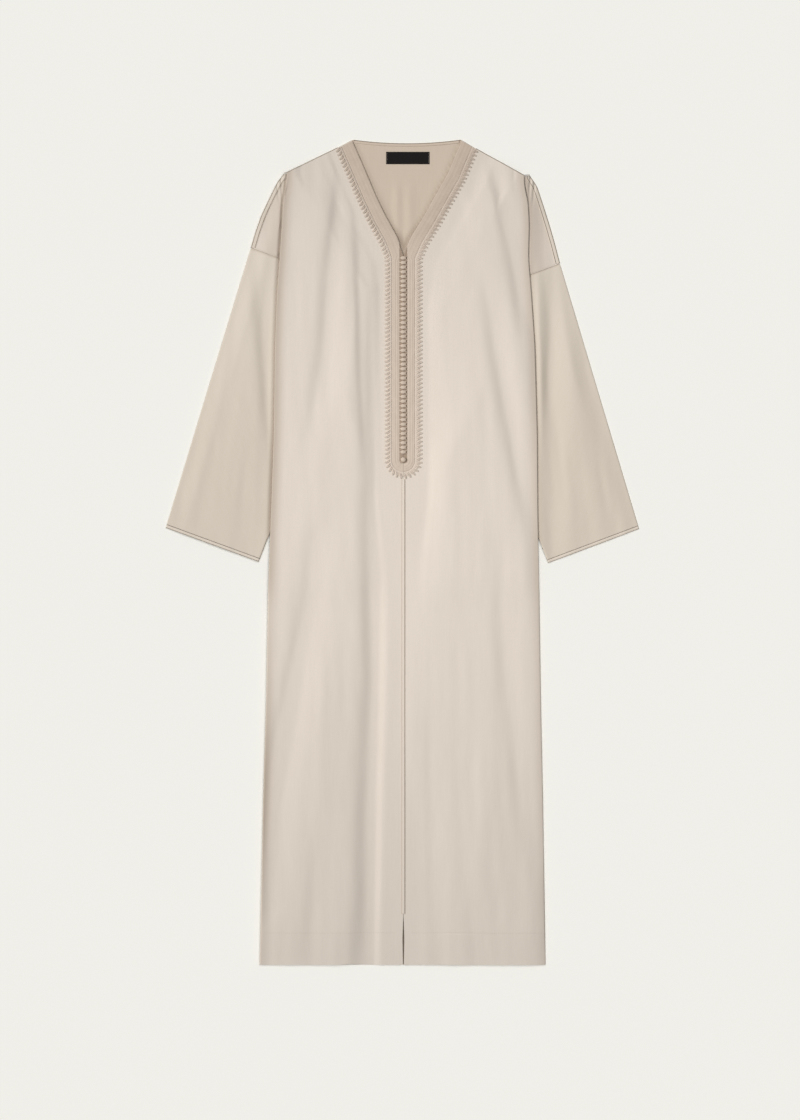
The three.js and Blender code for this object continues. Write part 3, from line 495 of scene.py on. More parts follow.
def closed_wall(outer, inner, quads):
    """A closed wall from the two sides of a sheet, with a rim all round."""
    outer, inner = outer.reshape(-1, 3), inner.reshape(-1, 3)
    count = len(outer)
    edges = np.concatenate([quads[:, [k, (k + 1) % 4]] for k in range(4)])
    codes = edges[:, 0] * count + edges[:, 1]
    paired = np.isin(codes, edges[:, 1] * count + edges[:, 0])
    rim = edges[~paired]
    rim_quads = np.stack([rim[:, 1], rim[:, 0], rim[:, 0] + count, rim[:, 1] + count], 1)
    faces = np.concatenate([quads, quads[:, ::-1] + count, rim_quads])
    used, index = np.unique(faces, return_inverse=True)
    return np.concatenate([outer, inner])[used], index.reshape(faces.shape)


def lifted(points):
    """The shared ridges added to points that the height functions leave out."""
    points = points.copy()
    points[..., 2] += shared_lift(points[..., 0], points[..., 1])
    return points


def joined(parts):
    """One list of points and faces from many."""
    points, faces, start = [], [], 0
    for part_points, part_faces in parts:
        points.append(part_points)
        faces.append(part_faces + start)
        start += len(part_points)
    return np.concatenate(points), np.concatenate(faces)


def tube(path, radii, sides=8, flat=1.0):
    """A closed tube along a path of points, narrowed by flat across its height."""
    path = np.asarray(path, float)
    radii = np.broadcast_to(radii, len(path))
    ahead = np.gradient(path, axis=0)
    ahead /= np.maximum(np.linalg.norm(ahead, axis=1, keepdims=True), 1e-9)
    beside = np.cross(ahead, (0, 0, 1.0))
    beside /= np.maximum(np.linalg.norm(beside, axis=1, keepdims=True), 1e-9)
    above = np.cross(beside, ahead)
    angles = np.arange(sides) * 2 * math.pi / sides
    rings = (path[:, None] + radii[:, None, None] * (
        np.cos(angles)[None, :, None] * beside[:, None]
        + flat * np.sin(angles)[None, :, None] * above[:, None]))
    ends = np.stack([path[0], path[-1]])
    count = len(path) * sides
    quads = grid_quads(len(path), sides, ring=True)
    side = np.arange(sides)
    after = (side + 1) % sides
    last = (len(path) - 1) * sides
    start_cap = np.stack([np.full(sides, count), side, after, after], 1)
    end_cap = np.stack([np.full(sides, count + 1), last + after, last + side, last + side], 1)
    return np.concatenate([rings.reshape(-1, 3), ends]), np.concatenate([quads, start_cap, end_cap])


pieces = []


def make_piece(name, mesh_parts, material, nodes=(), smooth_angle=55, extra_materials=(),
               tone=None):
    """A piece in metres that rides on the one body, and takes the place of its nodes."""
    points, faces = mesh_parts
    mesh = bpy.data.meshes.new(name)
    loops = [tuple(dict.fromkeys(face)) for face in faces.tolist()]
    mesh.from_pydata((points / 1000).tolist(), [], loops)
    mesh.validate()
    mesh.materials.append(material)
    for extra in extra_materials:
        mesh.materials.append(extra)
    mesh.polygons.foreach_set("use_smooth", [True] * len(mesh.polygons))
    mesh.set_sharp_from_angle(angle=math.radians(smooth_angle))
    mesh.update()
    # The tone attribute holds the share of painted shade that the twill mixes in
    if tone is not None:
        values = mesh.attributes.new("tone", "FLOAT", "POINT").data
        values.foreach_set("value", tone(points[:, 0], points[:, 1]).astype(np.float32))
    piece = bpy.data.objects.new(name, mesh)
    bpy.context.scene.collection.objects.link(piece)
    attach(piece, "root")
    if nodes:
        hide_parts(*nodes)
    pieces.append(piece)
    return piece


def use_second_material(piece, chosen):
    """The second material on the faces that a test chooses."""
    for face in piece.data.polygons:
        face.material_index = 1 if chosen(face) else 0


# Materials


def linear(red, green, blue):
    """Linear colour from 8 bit values."""
    shares = [value / 255 for value in (red, green, blue)]
    return tuple(s / 12.92 if s <= 0.04045 else ((s + 0.055) / 1.055) ** 2.4 for s in shares) + (1.0,)


def feed(tree, socket, value):
    """A link where the value is a socket, and a constant where it isn't."""
    if isinstance(value, bpy.types.NodeSocket):
        tree.links.new(value, socket)
    else:
        socket.default_value = value


def node(tree, kind, **inputs):
    made = tree.nodes.new(kind)
    for name, value in inputs.items():
        feed(tree, made.inputs[name.replace("_", " ")], value)
    return made


def math_node(tree, operation, *values):
    made = tree.nodes.new("ShaderNodeMath")
    made.operation = operation
    for socket, value in zip(made.inputs, values):
        feed(tree, socket, value)
    return made.outputs[0]


def mix_color(tree, share, first, second):
    made = tree.nodes.new("ShaderNodeMix")
    made.data_type = "RGBA"
    for index, value in ((0, share), (6, first), (7, second)):
        feed(tree, made.inputs[index], value)
    return made.outputs[2]


def turned_coordinates(tree, degrees):
    place = tree.nodes.new("ShaderNodeTexCoord").outputs["Object"]
    angles = (0, 0, math.radians(degrees))
    return node(tree, "ShaderNodeMapping", Vector=place, Rotation=angles).outputs[0]


def stretched(tree, place, scale):
    return node(tree, "ShaderNodeMapping", Vector=place, Scale=scale).outputs[0]


WAVE_PERIOD = 2 * math.pi / 20


def lines(tree, place, pitch_mm, direction="X", distortion=0.0):
    made = node(tree, "ShaderNodeTexWave", Vector=place, Scale=WAVE_PERIOD / (pitch_mm / 1000),
                Distortion=distortion, Detail_Scale=0.4)
    made.bands_direction = direction
    return made.outputs["Fac"]


def noise(tree, place, size_mm, detail=2.0):
    made = node(tree, "ShaderNodeTexNoise", Vector=place, Scale=1000 / size_mm, Detail=detail)
    return made.outputs["Fac"]


def principled(name, roughness, sheen, sheen_roughness, specular):
    material = bpy.data.materials.new(name)
    material.use_nodes = True
    tree = material.node_tree
    shader = tree.nodes["Principled BSDF"]
    shader.inputs["Roughness"].default_value = roughness
    shader.inputs["Specular IOR Level"].default_value = specular
    shader.inputs["Sheen Weight"].default_value = sheen
    shader.inputs["Sheen Roughness"].default_value = sheen_roughness
    return material, tree, shader


def finish_material(tree, shader, color, height, distance_mm, strength):
    """The colour and the fine relief of a fabric."""
    tree.links.new(color, shader.inputs["Base Color"])
    made = node(tree, "ShaderNodeBump", Height=height, Distance=distance_mm / 1000, Strength=strength)
    tree.links.new(made.outputs[0], shader.inputs["Normal"])


# Colour of the painted shade that the twill mixes in, as far as a mesh's tone attribute asks
PAINTED_SHADE_COLOR = (184, 169, 153)
# Y in metres over which the painted shade on the trim round the neck comes in
NECK_SHADE_Y = (0.495, 0.56)


def twill(name, color, shade, deep=PAINTED_SHADE_COLOR, grain=0.0, roughness=0.62, sheen=0.18):
    """Fine steep twill with soft slubs along the warp, a faint mottle, and painted shade where the mesh's
    tone attribute asks for it.
    """
    material, tree, shader = principled(name, roughness, sheen, 0.35, 0.28)
    place = turned_coordinates(tree, grain)
    ribs = lines(tree, turned_coordinates(tree, grain + 63), 1.05, distortion=0.5)
    weft = lines(tree, place, 0.8, "Y", 0.3)
    slubs = noise(tree, stretched(tree, place, (1.0, 0.06, 1.0)), 2.2, 3.0)
    mottle = noise(tree, stretched(tree, place, (1.0, 0.25, 1.0)), 46, 3.0)
    threads = math_node(tree, "MULTIPLY_ADD", weft, 0.3, ribs)
    height = math_node(tree, "MULTIPLY_ADD", slubs, 1.3, threads)
    slub_share = math_node(tree, "MULTIPLY", slubs, 0.5)
    tone = math_node(tree, "MULTIPLY_ADD", mottle, 0.5, slub_share)
    thread_share = math_node(tree, "MULTIPLY_ADD", ribs, 0.12, tone)
    # Painted shade: the tone attribute mixes the deep colour in along folds, seams, the lower sleeves and
    # the V's edges
    painted_shade_share = tree.nodes.new("ShaderNodeAttribute")
    painted_shade_share.attribute_name = "tone"
    plain = mix_color(tree, thread_share, linear(*shade), linear(*color))
    shaded = mix_color(tree, painted_shade_share.outputs["Fac"], plain, linear(*deep))
    finish_material(tree, shader, shaded, height, 0.12, 0.55)
    return material


def cord_fabric(name, color, shade, twist_mm=1.3, roughness=0.8, sheen=0.12, neck_shade_color=None):
    """Twisted yarn: fine slanting plies with a fuzzy tone, and painted shade round the neck where a shade
    colour is given.
    """
    material, tree, shader = principled(name, roughness, sheen, 0.5, 0.2)
    place = turned_coordinates(tree, 0)
    plies = lines(tree, turned_coordinates(tree, 38), twist_mm, distortion=1.0)
    fuzz = noise(tree, place, 1.1, 4.0)
    patches = noise(tree, place, 9, 2.0)
    tone = math_node(tree, "MULTIPLY_ADD", plies, 0.35, math_node(tree, "MULTIPLY", fuzz, 0.45))
    share = math_node(tree, "MULTIPLY_ADD", patches, 0.4, tone)
    shaded = mix_color(tree, share, linear(*shade), linear(*color))
    if neck_shade_color:
        split = node(tree, "ShaderNodeSeparateXYZ", Vector=place)
        ramp = node(tree, "ShaderNodeMapRange", Value=split.outputs["Y"], From_Min=NECK_SHADE_Y[0],
                    From_Max=NECK_SHADE_Y[1])
        ramp.interpolation_type = "SMOOTHSTEP"
        neck_shaded = mix_color(tree, share, linear(*neck_shade_color), shaded)
        shaded = mix_color(tree, ramp.outputs[0], shaded, neck_shaded)
    finish_material(tree, shader, shaded, math_node(tree, "ADD", plies, fuzz), 0.2, 0.6)
    return material


cloth_body = twill("cloth_body", (222, 212, 201), (212, 201, 189))
# The sleeves take a darker copy of the body cloth's colours: painted shade, for the lower light on them
SHADED_SLEEVE_COLORS = (217, 207, 194), (208, 197, 182)
cloth_left = twill("cloth_sleeve_left", *SHADED_SLEEVE_COLORS, grain=-20)
cloth_right = twill("cloth_sleeve_right", *SHADED_SLEEVE_COLORS, grain=20)
# The inside of the back, seen in the V, and the back neck binding: the slightly different hue of the cloth's
# inside and painted shade, with deeper painted shade beside the V's edges
cloth_inside_shaded = twill("cloth_inside_shaded", (210, 195, 178), (198, 182, 165), (150, 131, 112),
                     roughness=0.7, sheen=0.1)
# The band and the edging take painted shade where they run round the V
band_braid = cord_fabric("band_braid", (208, 193, 178), (195, 179, 164), 1.6,
                         neck_shade_color=(191, 174, 157))
edging_cord = cord_fabric("edging_cord", (221, 208, 195), (196, 181, 167), neck_shade_color=(186, 170, 154))
knot_cord = cord_fabric("knot_cord", (213, 197, 181), (190, 173, 156))
seam_cord = cord_fabric("seam_cord", (228, 218, 206), (216, 205, 192))
# Painted shadow lines: the cuff cords, the right shoulder's cords and the back neck's top edge
painted_shadow_line = cord_fabric("painted_shadow_line", (150, 136, 122), (122, 109, 97))
seam_line = cord_fabric("seam_line", (202, 188, 173), (186, 171, 156))
# Painted shadow lines on the left shoulder, lighter than on the right, and painted shadow in the knots'
# channel
shoulder_shadow_line = cord_fabric("shoulder_shadow_line", (180, 166, 151), (160, 146, 131))
shadow_cord = cord_fabric("shadow_cord", (172, 153, 135), (148, 129, 112))
ribbon = twill("ribbon_tape", (220, 210, 197), (208, 197, 183), grain=20, roughness=0.55)
thread = cord_fabric("sewing_thread", (212, 201, 187), (196, 184, 169), 0.5)


def label_fabric():
    """Dense dark satin weave, blank."""
    material, tree, shader = principled("label_weave", 0.7, 0.0, 0.4, 0.12)
    place = turned_coordinates(tree, 0)
    picks = lines(tree, place, 0.5, "Y", 0.2)
    ends = lines(tree, place, 0.45, "X", 0.2)
    fuzz = noise(tree, place, 1.4, 3.0)
    share = math_node(tree, "MULTIPLY_ADD", fuzz, 0.7, math_node(tree, "MULTIPLY", picks, 0.3))
    color = mix_color(tree, share, linear(14, 12, 12), linear(34, 30, 30))
    finish_material(tree, shader, color, math_node(tree, "ADD", picks, ends), 0.08, 0.6)
    return material


label_weave = label_fabric()

# Fronts


def spaced(start, end, step):
    return np.linspace(start, end, max(2, int(round(abs(end - start) / step)) + 1))


FRONT_ROWS = np.unique(np.concatenate([
    spaced(700, 470, 3.2), spaced(470, HEM_Y + 6, 3.6), [HEM_Y, HEM_Y + 1.5, HEM_Y + 3.5],
    HEM_STITCH_Y + np.array([-3, -2, -1, 0, 1, 2, 3, 4]),
]))[::-1]
NEAR_OFFSETS = np.array([0, 1, 2, 3.2, 4.4, 5.6, 7, 9, 12, 16, 20, 25, 30, 35])
FRONT_CELLS = 56
TURN_STEPS = 7
RETURN_CELLS = 8
CREASE_STEPS = 3
EXTENSION_HIDDEN = 5
EXTENSION_SHOWN = 22


def columns_across(start, end, share):
    """Plan points across each row, from a start to an end that every row has of its own."""
    return [mix(start[k][:, None], end[k][:, None], share) for k in (0, 1)]


def columns_between(inner_x, edge_x, near, cells):
    """Columns at fixed offsets near the inner edge, then evenly on to the outer one."""
    width = np.abs(edge_x - inner_x)[:, None]
    sign = np.sign(edge_x - inner_x)[:, None]
    even = np.linspace(0, 1, cells + 1)[None, 1:]
    offsets = np.concatenate([np.broadcast_to(near, (len(width), len(near))),
                              near[-1] + (width - near[-1]) * even], 1)
    return inner_x[:, None] + sign * offsets, offsets / width


def folded_side(side, inner, facing, sheet_z, edge_x, fold, turn_z, extension):
    """Columns of the fold, the hidden return and, above the underarm, the shoulder extension."""
    radius = np.abs(sheet_z - turn_z) / 2 + CLOTH / 2
    edge_in = edge_x - side.sign * radius
    out = (side.sign, 0)
    blocks = [turn(edge_in, fold, out, sheet_z, turn_z, True, TURN_STEPS)]
    crease = crease_point(side, inner)
    share = np.linspace(0, 1, RETURN_CELLS + 1)[None, :]
    x, y = columns_across((edge_in, fold), crease, share)
    blocks.append(level(x, y, np.broadcast_to(turn_z[:, None], x.shape), -facing))
    hidden_z = extension(*crease)
    blocks.append(turn(*crease, (-side.sign, 0), turn_z, hidden_z, False, CREASE_STEPS))
    outer = outer_point(side, inner)
    at_fold = np.clip(np.abs((fold_x(side, fold) - crease[0]) / (outer[0] - crease[0])), 0.02, 0.97)
    hidden = at_fold[:, None] * np.linspace(0, 1, EXTENSION_HIDDEN + 1)[None, :-1]
    shown = mix(at_fold[:, None], 1, np.linspace(0, 1, EXTENSION_SHOWN + 1)[None, :])
    share = np.concatenate([hidden, shown], 1)
    x, y = columns_across(crease, outer, share)
    blocks.append(level(x, y, extension(x, y), facing))
    return blocks, edge_in


def body_grid(inner, blocks, start_columns, flip):
    """A grid of all the blocks, where rows below the underarm stop at the crease."""
    outer = np.concatenate([block[0] for block in blocks], 1)
    inner_points = np.concatenate([block[1] for block in blocks], 1)
    total = outer.shape[1]
    short = start_columns + TURN_STEPS + RETURN_CELLS + 1
    counts = np.where(inner >= UNDERARM_INNER - 0.01, total, short)
    quads = grid_quads(len(inner), total, counts)
    return outer, inner_points, quads[:, ::-1] if flip else quads


def front_panel(side):
    inner = FRONT_ROWS
    fold = fold_row(side, inner)
    edge_x = fold_x(side, fold)
    centre = CENTRE_X + side.sign * (SEAM_GAP / 2 + at_height(SLIT, inner, 1, 6))
    inner_x = np.where(inner > V_POINT_Y, at_height(NECK_EDGE, inner, side.column), centre)
    edge_z = front_height(side, edge_x, fold)
    turn_z = turn_height(fold) + shared_lift(edge_x, fold)

    def extension(x, y):
        return over_height(side, x, y) + shared_lift(x, y) - 0.8 * gathers(side, x, y)

    blocks, edge_in = folded_side(side, inner, 1, edge_z, edge_x, fold, turn_z, extension)
    x, share = columns_between(inner_x, edge_in, NEAR_OFFSETS, FRONT_CELLS)
    y = mix(inner[:, None], fold[:, None], share)
    z = front_height(side, x, y)
    kink = HEM_KINK.lift * bell(x - HEM_KINK.x, HEM_KINK.width)
    blocks.insert(0, level(x, y + kink * smooth(HEM_Y + 12, HEM_Y, y), z, 1))
    outer, inner_points, quads = body_grid(inner, blocks, x.shape[1], side.sign < 0)
    return closed_wall(outer, inner_points, quads), extension


# Painted shade: its reach inside and outside the fold edges and its share low down, extra painted shade on
# the left skirt edge, and its shares on the shoulder extensions, the armhole seams and the lower sleeves
FOLD_PAINTED_SHADE = SimpleNamespace(inside=11, outside=5, low_down=0.3)
SKIRT_EDGE_PAINTED_SHADE = SimpleNamespace(y=-390.0, spread=150.0, tone=0.6)
EXTENSION_PAINTED_SHADE = 0.34
SEAM_PAINTED_SHADE = 0.6
SEAM_PAINTED_SHADE_WIDTH = 2.4
SLEEVE_PAINTED_SHADE = 0.2


def fold_painted_shade(x, y):
    """Share of painted shade beside the fold edges of the body, more on the left skirt edge."""
    total = 0.0
    for side in SIDES:
        inwards = side.sign * (fold_x(side, y) - x)
        low_down = FOLD_PAINTED_SHADE.low_down
        if side is LEFT:
            low_down = low_down + SKIRT_EDGE_PAINTED_SHADE.tone * bell(y - SKIRT_EDGE_PAINTED_SHADE.y, SKIRT_EDGE_PAINTED_SHADE.spread)
        near = bell(inwards, np.where(inwards < 0, FOLD_PAINTED_SHADE.outside, FOLD_PAINTED_SHADE.inside))
        total = total + near * mix(low_down, side.tone, sleeve_in_fold(y))
    return np.minimum(1, total)


def front_painted_shade(x, y):
    """Painted shade on the fronts, which takes in their shoulder extensions."""
    outside = np.maximum(*(side.sign * (x - fold_x(side, y)) for side in SIDES))
    extension = EXTENSION_PAINTED_SHADE * smooth(0, 4, outside) * smooth(52, 10, outside)
    return np.minimum(1, fold_painted_shade(x, y) + extension)


def sleeve_painted_shade(x, y):
    """Painted shade on the sleeves, darker towards the cuffs, which takes in the armhole seam."""
    total = fold_painted_shade(x, y) + SLEEVE_PAINTED_SHADE * smooth(440, 150, y)
    for side in SIDES:
        dx, dy = armhole_direction(side)
        below = ((y - side.corner[1]) * dx - (x - side.corner[0]) * dy) * side.sign
        total = total + SEAM_PAINTED_SHADE * bell(below, SEAM_PAINTED_SHADE_WIDTH) * (side.sign * x > 0)
    return np.minimum(1, total)


extensions = {}
for side in SIDES:
    wall, extensions[side.name] = front_panel(side)
    make_piece(f"front_{side.name}_cloth", wall, cloth_body,
                                   [f"front_{side.name}"], tone=front_painted_shade)

# Back panel

BACK_ROWS = np.unique(np.concatenate([spaced(700, 470, 5), spaced(470, HEM_Y + 6, 8),
                                      [HEM_Y, HEM_Y + 2]]))[::-1]
BACK_HALF_CELLS = 40
BACK_NECK_DIP = 6.5
# Soft ridges in the middle of the back, seen in the V: x, height, width
NECK_RIDGES = [(-9, 1.5, 7.5), (12, 1.3, 8.5)]
EDGE_RIDGE = SimpleNamespace(highest=1.6, width=9)


def back_neck_y(x):
    share = (x - LEFT.neck[0]) / (RIGHT.neck[0] - LEFT.neck[0])
    return LEFT.neck[1] - BACK_NECK_DIP * 4 * share * (1 - share)


def inner_folds(x, y):
    """Soft ridges of the back, seen in the V: two in the middle, one under the left edge."""
    fade = smooth(506, 530, y) * smooth(646, 596, y)
    ridges = sum(height * bell(x - at, width) for at, height, width in NECK_RIDGES)
    from_edge = x - at_height(NECK_EDGE, y, LEFT.column)
    room = np.clip(at_height(BED, y, 1) - CLOTH * 1.5 - SEAM_GAP, 0, EDGE_RIDGE.highest)
    under_edge = room * smooth(490, 510, y) * bell(from_edge, EDGE_RIDGE.width)
    return np.maximum(fade * ridges, under_edge)


def back_half(side):
    inner = BACK_ROWS
    fold = fold_row(side, inner)
    low, high = layer_height(0), layer_height(1)
    inset = mix(BACK_INSET_SKIRT, BACK_INSET, sleeve_in_fold(fold))
    inset = np.where(inner >= 700, 4, inset)
    edge_x = fold_x(side, fold) - side.sign * inset
    sheet_z = np.full(len(inner), low)

    def extension(x, y):
        return under_height(side, x, y)

    blocks, edge_in = folded_side(side, inner, -1, sheet_z, edge_x, fold,
                                  np.full(len(inner), high), extension)
    even = np.linspace(0, 1, BACK_HALF_CELLS + 1) ** 1.4
    share = np.broadcast_to(even, (len(inner), BACK_HALF_CELLS + 1))
    x = mix(CENTRE_X, edge_in[:, None], share)
    neck_x = side.neck[0]
    past_neck = np.clip((x - neck_x) / (edge_in[:, None] - neck_x), 0, 1)
    top_y = np.where(side.sign * x < side.sign * neck_x, back_neck_y(x),
                     mix(side.neck[1] - 1, fold[:, None], past_neck))
    level_y = mix(inner[:, None], fold[:, None], share)
    near_top = smooth(640, 700, inner)[:, None]
    y = mix(level_y, top_y - (700 - inner[:, None]), near_top)
    blocks.insert(0, level(x, y, low + inner_folds(x, y), -1))
    return body_grid(inner, blocks, x.shape[1], side.sign > 0)


def back_panel():
    halves = [back_half(side) for side in SIDES]
    columns = halves[0][0].shape[1]
    shared = halves[0][0].shape[0] * columns
    second = halves[1][2] + shared
    on_centre = (second - shared) % columns == 0
    second = np.where(on_centre, second - shared, second)
    outer = np.concatenate([half[0].reshape(-1, 3) for half in halves])
    inner = np.concatenate([half[1].reshape(-1, 3) for half in halves])
    return closed_wall(lifted(outer), lifted(inner), np.concatenate([halves[0][2], second]))


# Painted shade beside the V: its reach low and high, the narrow gap at the edge where it thins, and its
# share low and high
NECK_PAINTED_SHADE = SimpleNamespace(low_reach=12, high_reach=6, shaded=3, low=0.8, high=0.5)


def neck_painted_shade(x, y):
    """Share of painted shade on the inside of the back, beside the edges of the V and in its point."""
    away = np.minimum(*(np.abs(x - at_height(NECK_EDGE, y, side.column)) for side in SIDES))
    reach = mix(NECK_PAINTED_SHADE.low_reach, NECK_PAINTED_SHADE.high_reach, smooth(V_POINT_Y, 570, y))
    at_edge = 1 - 0.9 * bell(away, NECK_PAINTED_SHADE.shaded)
    strength = mix(NECK_PAINTED_SHADE.low, NECK_PAINTED_SHADE.high, smooth(V_POINT_Y + 10, 590, y))
    return bell(away, reach) * at_edge * strength


back = make_piece("back_cloth", back_panel(), cloth_body, ["back"],
                  extra_materials=[cloth_inside_shaded], tone=neck_painted_shade)
# Height in metres under which the back's upward faces are the inside that shows in the V, and take the
# darker inside colour with its painted shade
INSIDE_TOP = 0.0036
use_second_material(back, lambda face: face.normal.z > 0.3 and face.center.z < INSIDE_TOP)

# Sleeves and cuff bindings


SLEEVE_CELLS = 64
CORD_SHARES = (0.1, 0.9)
CORD_HALF = 0.07
SLEEVE_STEPS = 96
NEAR_SEAM = np.array([0, 1, 2, 3, 4.5, 6.5, 9])
SEAM_SINKS = SimpleNamespace(depth=0.7, width=2.8)


def sleeve_rings(side, along, bulge):
    """Rings of a flattened tube. The bulge moves the wall out by a distance for each ring."""
    ax, ay = armhole_direction(side)
    seam = []
    for share in (0, 1):
        x, y = armhole_point(side, share)
        seam.append((x + abs(ay) * side.sign * SEAM_GAP, y - abs(ax) * SEAM_GAP))
    outer = mix_points(seam[0], side.cuff_outer, along)
    inner = mix_points(seam[1], side.cuff_inner, along)
    width = np.hypot(outer[0] - inner[0], outer[1] - inner[1])
    out = [(outer[k] - inner[k]) / width for k in (0, 1)]
    edges = []
    for (x, y), step_sign in ((outer, -1), (inner, 1)):
        step = step_sign * ((over_height(side, x, y) - under_height(side, x, y)) / 2 + CLOTH / 2)
        edges.append((x + out[0] * step, y + out[1] * step))
    share = np.linspace(0, 1, SLEEVE_CELLS + 1)[None, :]
    x, y = columns_across(*edges, share)
    upper_z = over_height(side, x, y) + bulge[:, None]
    lower_z = np.maximum(under_height(side, x, y) - bulge[:, None], CLOTH / 2)
    upper = level(x, y, upper_z, 1)
    lower = level(x[:, ::-1], y[:, ::-1], lower_z[:, ::-1], -1)
    inner_turn = turn(*edges[1], (-out[0], -out[1]), upper_z[:, -1], lower_z[:, -1], True, TURN_STEPS)
    outer_turn = turn(*edges[0], out, lower_z[:, 0], upper_z[:, 0], True, TURN_STEPS)
    blocks = [upper, inner_turn, lower, outer_turn]
    return [lifted(np.concatenate([block[k] for block in blocks], 1)) for k in (0, 1)]


def ring_wall(side, along, bulge):
    outer, inner = sleeve_rings(side, along, bulge)
    quads = grid_quads(outer.shape[0], outer.shape[1], ring=True)
    return closed_wall(outer, inner, quads[:, ::-1] if side.sign < 0 else quads)


def on_cord(side, face):
    """Whether a face of the binding lies on one of its two cords."""
    run = np.subtract(side.cuff_outer, side.cuff_inner)
    offset = np.array(face.center[:2]) * 1000 - side.cuff_inner
    from_cuff = abs(run[0] * offset[1] - run[1] * offset[0]) / math.hypot(*run)
    return min(abs(1 - from_cuff / CUFF_BINDING - share) for share in CORD_SHARES) < CORD_HALF


for side in SIDES:
    corner = armhole_point(side, 0)
    length = math.hypot(side.cuff_outer[0] - corner[0], side.cuff_outer[1] - corner[1])
    end = 1 - (CUFF_BINDING + SEAM_GAP) / length
    evenly = np.linspace(NEAR_SEAM[-1] / length, end, SLEEVE_STEPS)[1:]
    along = np.concatenate([NEAR_SEAM / length, evenly])
    seam_roll = -SEAM_SINKS.depth * bell(along * length, SEAM_SINKS.width)
    sleeve_material = cloth_left if side is LEFT else cloth_right
    make_piece(f"sleeve_{side.name}_cloth", ring_wall(side, along, seam_roll),
                                    sleeve_material, [f"sleeve_{side.name}"], tone=sleeve_painted_shade)
    # The binding is a narrow tape between two thin cords, coloured dark as painted shadow lines
    across = np.linspace(0, 1, 31)
    profile = 0.3 * bell(across - 0.5, 0.16) - 0.2
    for share in CORD_SHARES:
        profile = profile + 0.35 * bell(across - share, CORD_HALF)
    along = 1 - CUFF_BINDING / length * (1 - across)
    binding = make_piece(f"cuff_binding_{side.name}_cords", ring_wall(side, along, profile),
                         ribbon, [f"cuff_binding_{side.name}"], extra_materials=[painted_shadow_line])
    use_second_material(binding, lambda face: on_cord(side, face))

# Line that the neck and placket trim follows


ARC_STEPS = 30


def trim_line(side):
    """Base points and outward directions along the trim, with distances measured where the teeth start."""
    shoulder = np.subtract(side.upper[0][2:], side.neck)
    corners = [(row[side.column], row[0]) for row in NECK_EDGE] + [(CENTRE_X, TRIM_ARC_Y)]

    def across(start, end):
        step = np.subtract(end, start)
        return np.array([-step[1], step[0]]) * side.sign / np.hypot(*step)

    stations = [((corners[0][0], corners[0][1] - 1.5), shoulder / np.hypot(*shoulder))]
    for before, corner, after in zip(corners[:-2], corners[1:-1], corners[2:]):
        first, second = across(before, corner), across(corner, after)
        middle = (first + second) / np.linalg.norm(first + second)
        stations.append((corner, middle / (middle @ second)))
    stations.append(((CENTRE_X, V_POINT_Y - 7.5), (side.sign, 0)))
    for angle in np.linspace(0, math.pi / 2, ARC_STEPS + 1):
        stations.append(((CENTRE_X, TRIM_ARC_Y), (side.sign * math.cos(angle), -math.sin(angle))))
    base = np.array([station[0] for station in stations], float)
    out = np.array([station[1] for station in stations], float)
    at_root = base + out * EDGING_ROOT
    gone = distances_along(at_root)
    return SimpleNamespace(base=base, out=out, gone=gone, length=gone[-1])


def on_line(line, distance, offset):
    """Plan points at distances along the trim and offsets out from its base."""
    base = [np.interp(distance, line.gone, line.base[:, k]) for k in (0, 1)]
    out = [np.interp(distance, line.gone, line.out[:, k]) for k in (0, 1)]
    return base[0] + out[0] * offset, base[1] + out[1] * offset


def bed_top(x, y, side=None):
    """Upper face of the front cloth under the trim."""
    raised = neck_lift(side, x, y) if side else 0
    return at_height(BED, y, 1) + CLOTH / 2 + shared_lift(x, y) + raised


def keep_side(side, x, distance):
    return CENTRE_X + side.sign * np.maximum(side.sign * (x - CENTRE_X), distance)


def strip_wall(x, y, bottom, top, flip):
    quads = grid_quads(*x.shape)
    return closed_wall(stacked(x, y, top), stacked(x, y, bottom), quads[:, ::-1] if flip else quads)


# Lengthwise ridges of the band: place as a share of its width, height, breadth as a share
BAND_RIDGES = [(0.3, 0.4, 0.07), (0.62, 0.35, 0.08)]
# Gap between a trim and the cloth under it
TRIM_GAP = 0.08


def plain_band(side, line):
    """Flat braid whose lengthwise ridges stand a little proud."""
    distance = spaced(0, line.length, 2.2)[:, None]
    base_y = np.interp(distance, line.gone, line.base[:, 1])
    in_placket = smooth(V_POINT_Y, V_POINT_Y - 6, base_y)
    start = mix(-BAND_OVERHANG, BUTTON_CHANNEL, in_placket)
    share = np.linspace(0, 1, 27)[None, :]
    x, y = on_line(line, distance, mix(start, BAND_WIDTH, share))
    x = keep_side(side, x, np.where(base_y > TRIM_ARC_Y, BUTTON_CHANNEL, SEAM_GAP / 2))
    ridges = sum(height * bell(share - at, width) for at, height, width in BAND_RIDGES)
    rolled = smooth(0, 0.08, share) * smooth(1, 0.92, share)
    waver = 0.12 * np.sin(distance / 9 + share * 5) + 0.08 * np.sin(distance / 3.1)
    height = 0.45 + rolled * (0.45 + ridges * mix(0.5, 1, in_placket) + waver)
    floor = bed_top(x, y, side) + TRIM_GAP
    return strip_wall(x, y, floor, floor + height, side.sign < 0)


STRAND_LEAN = 4.2
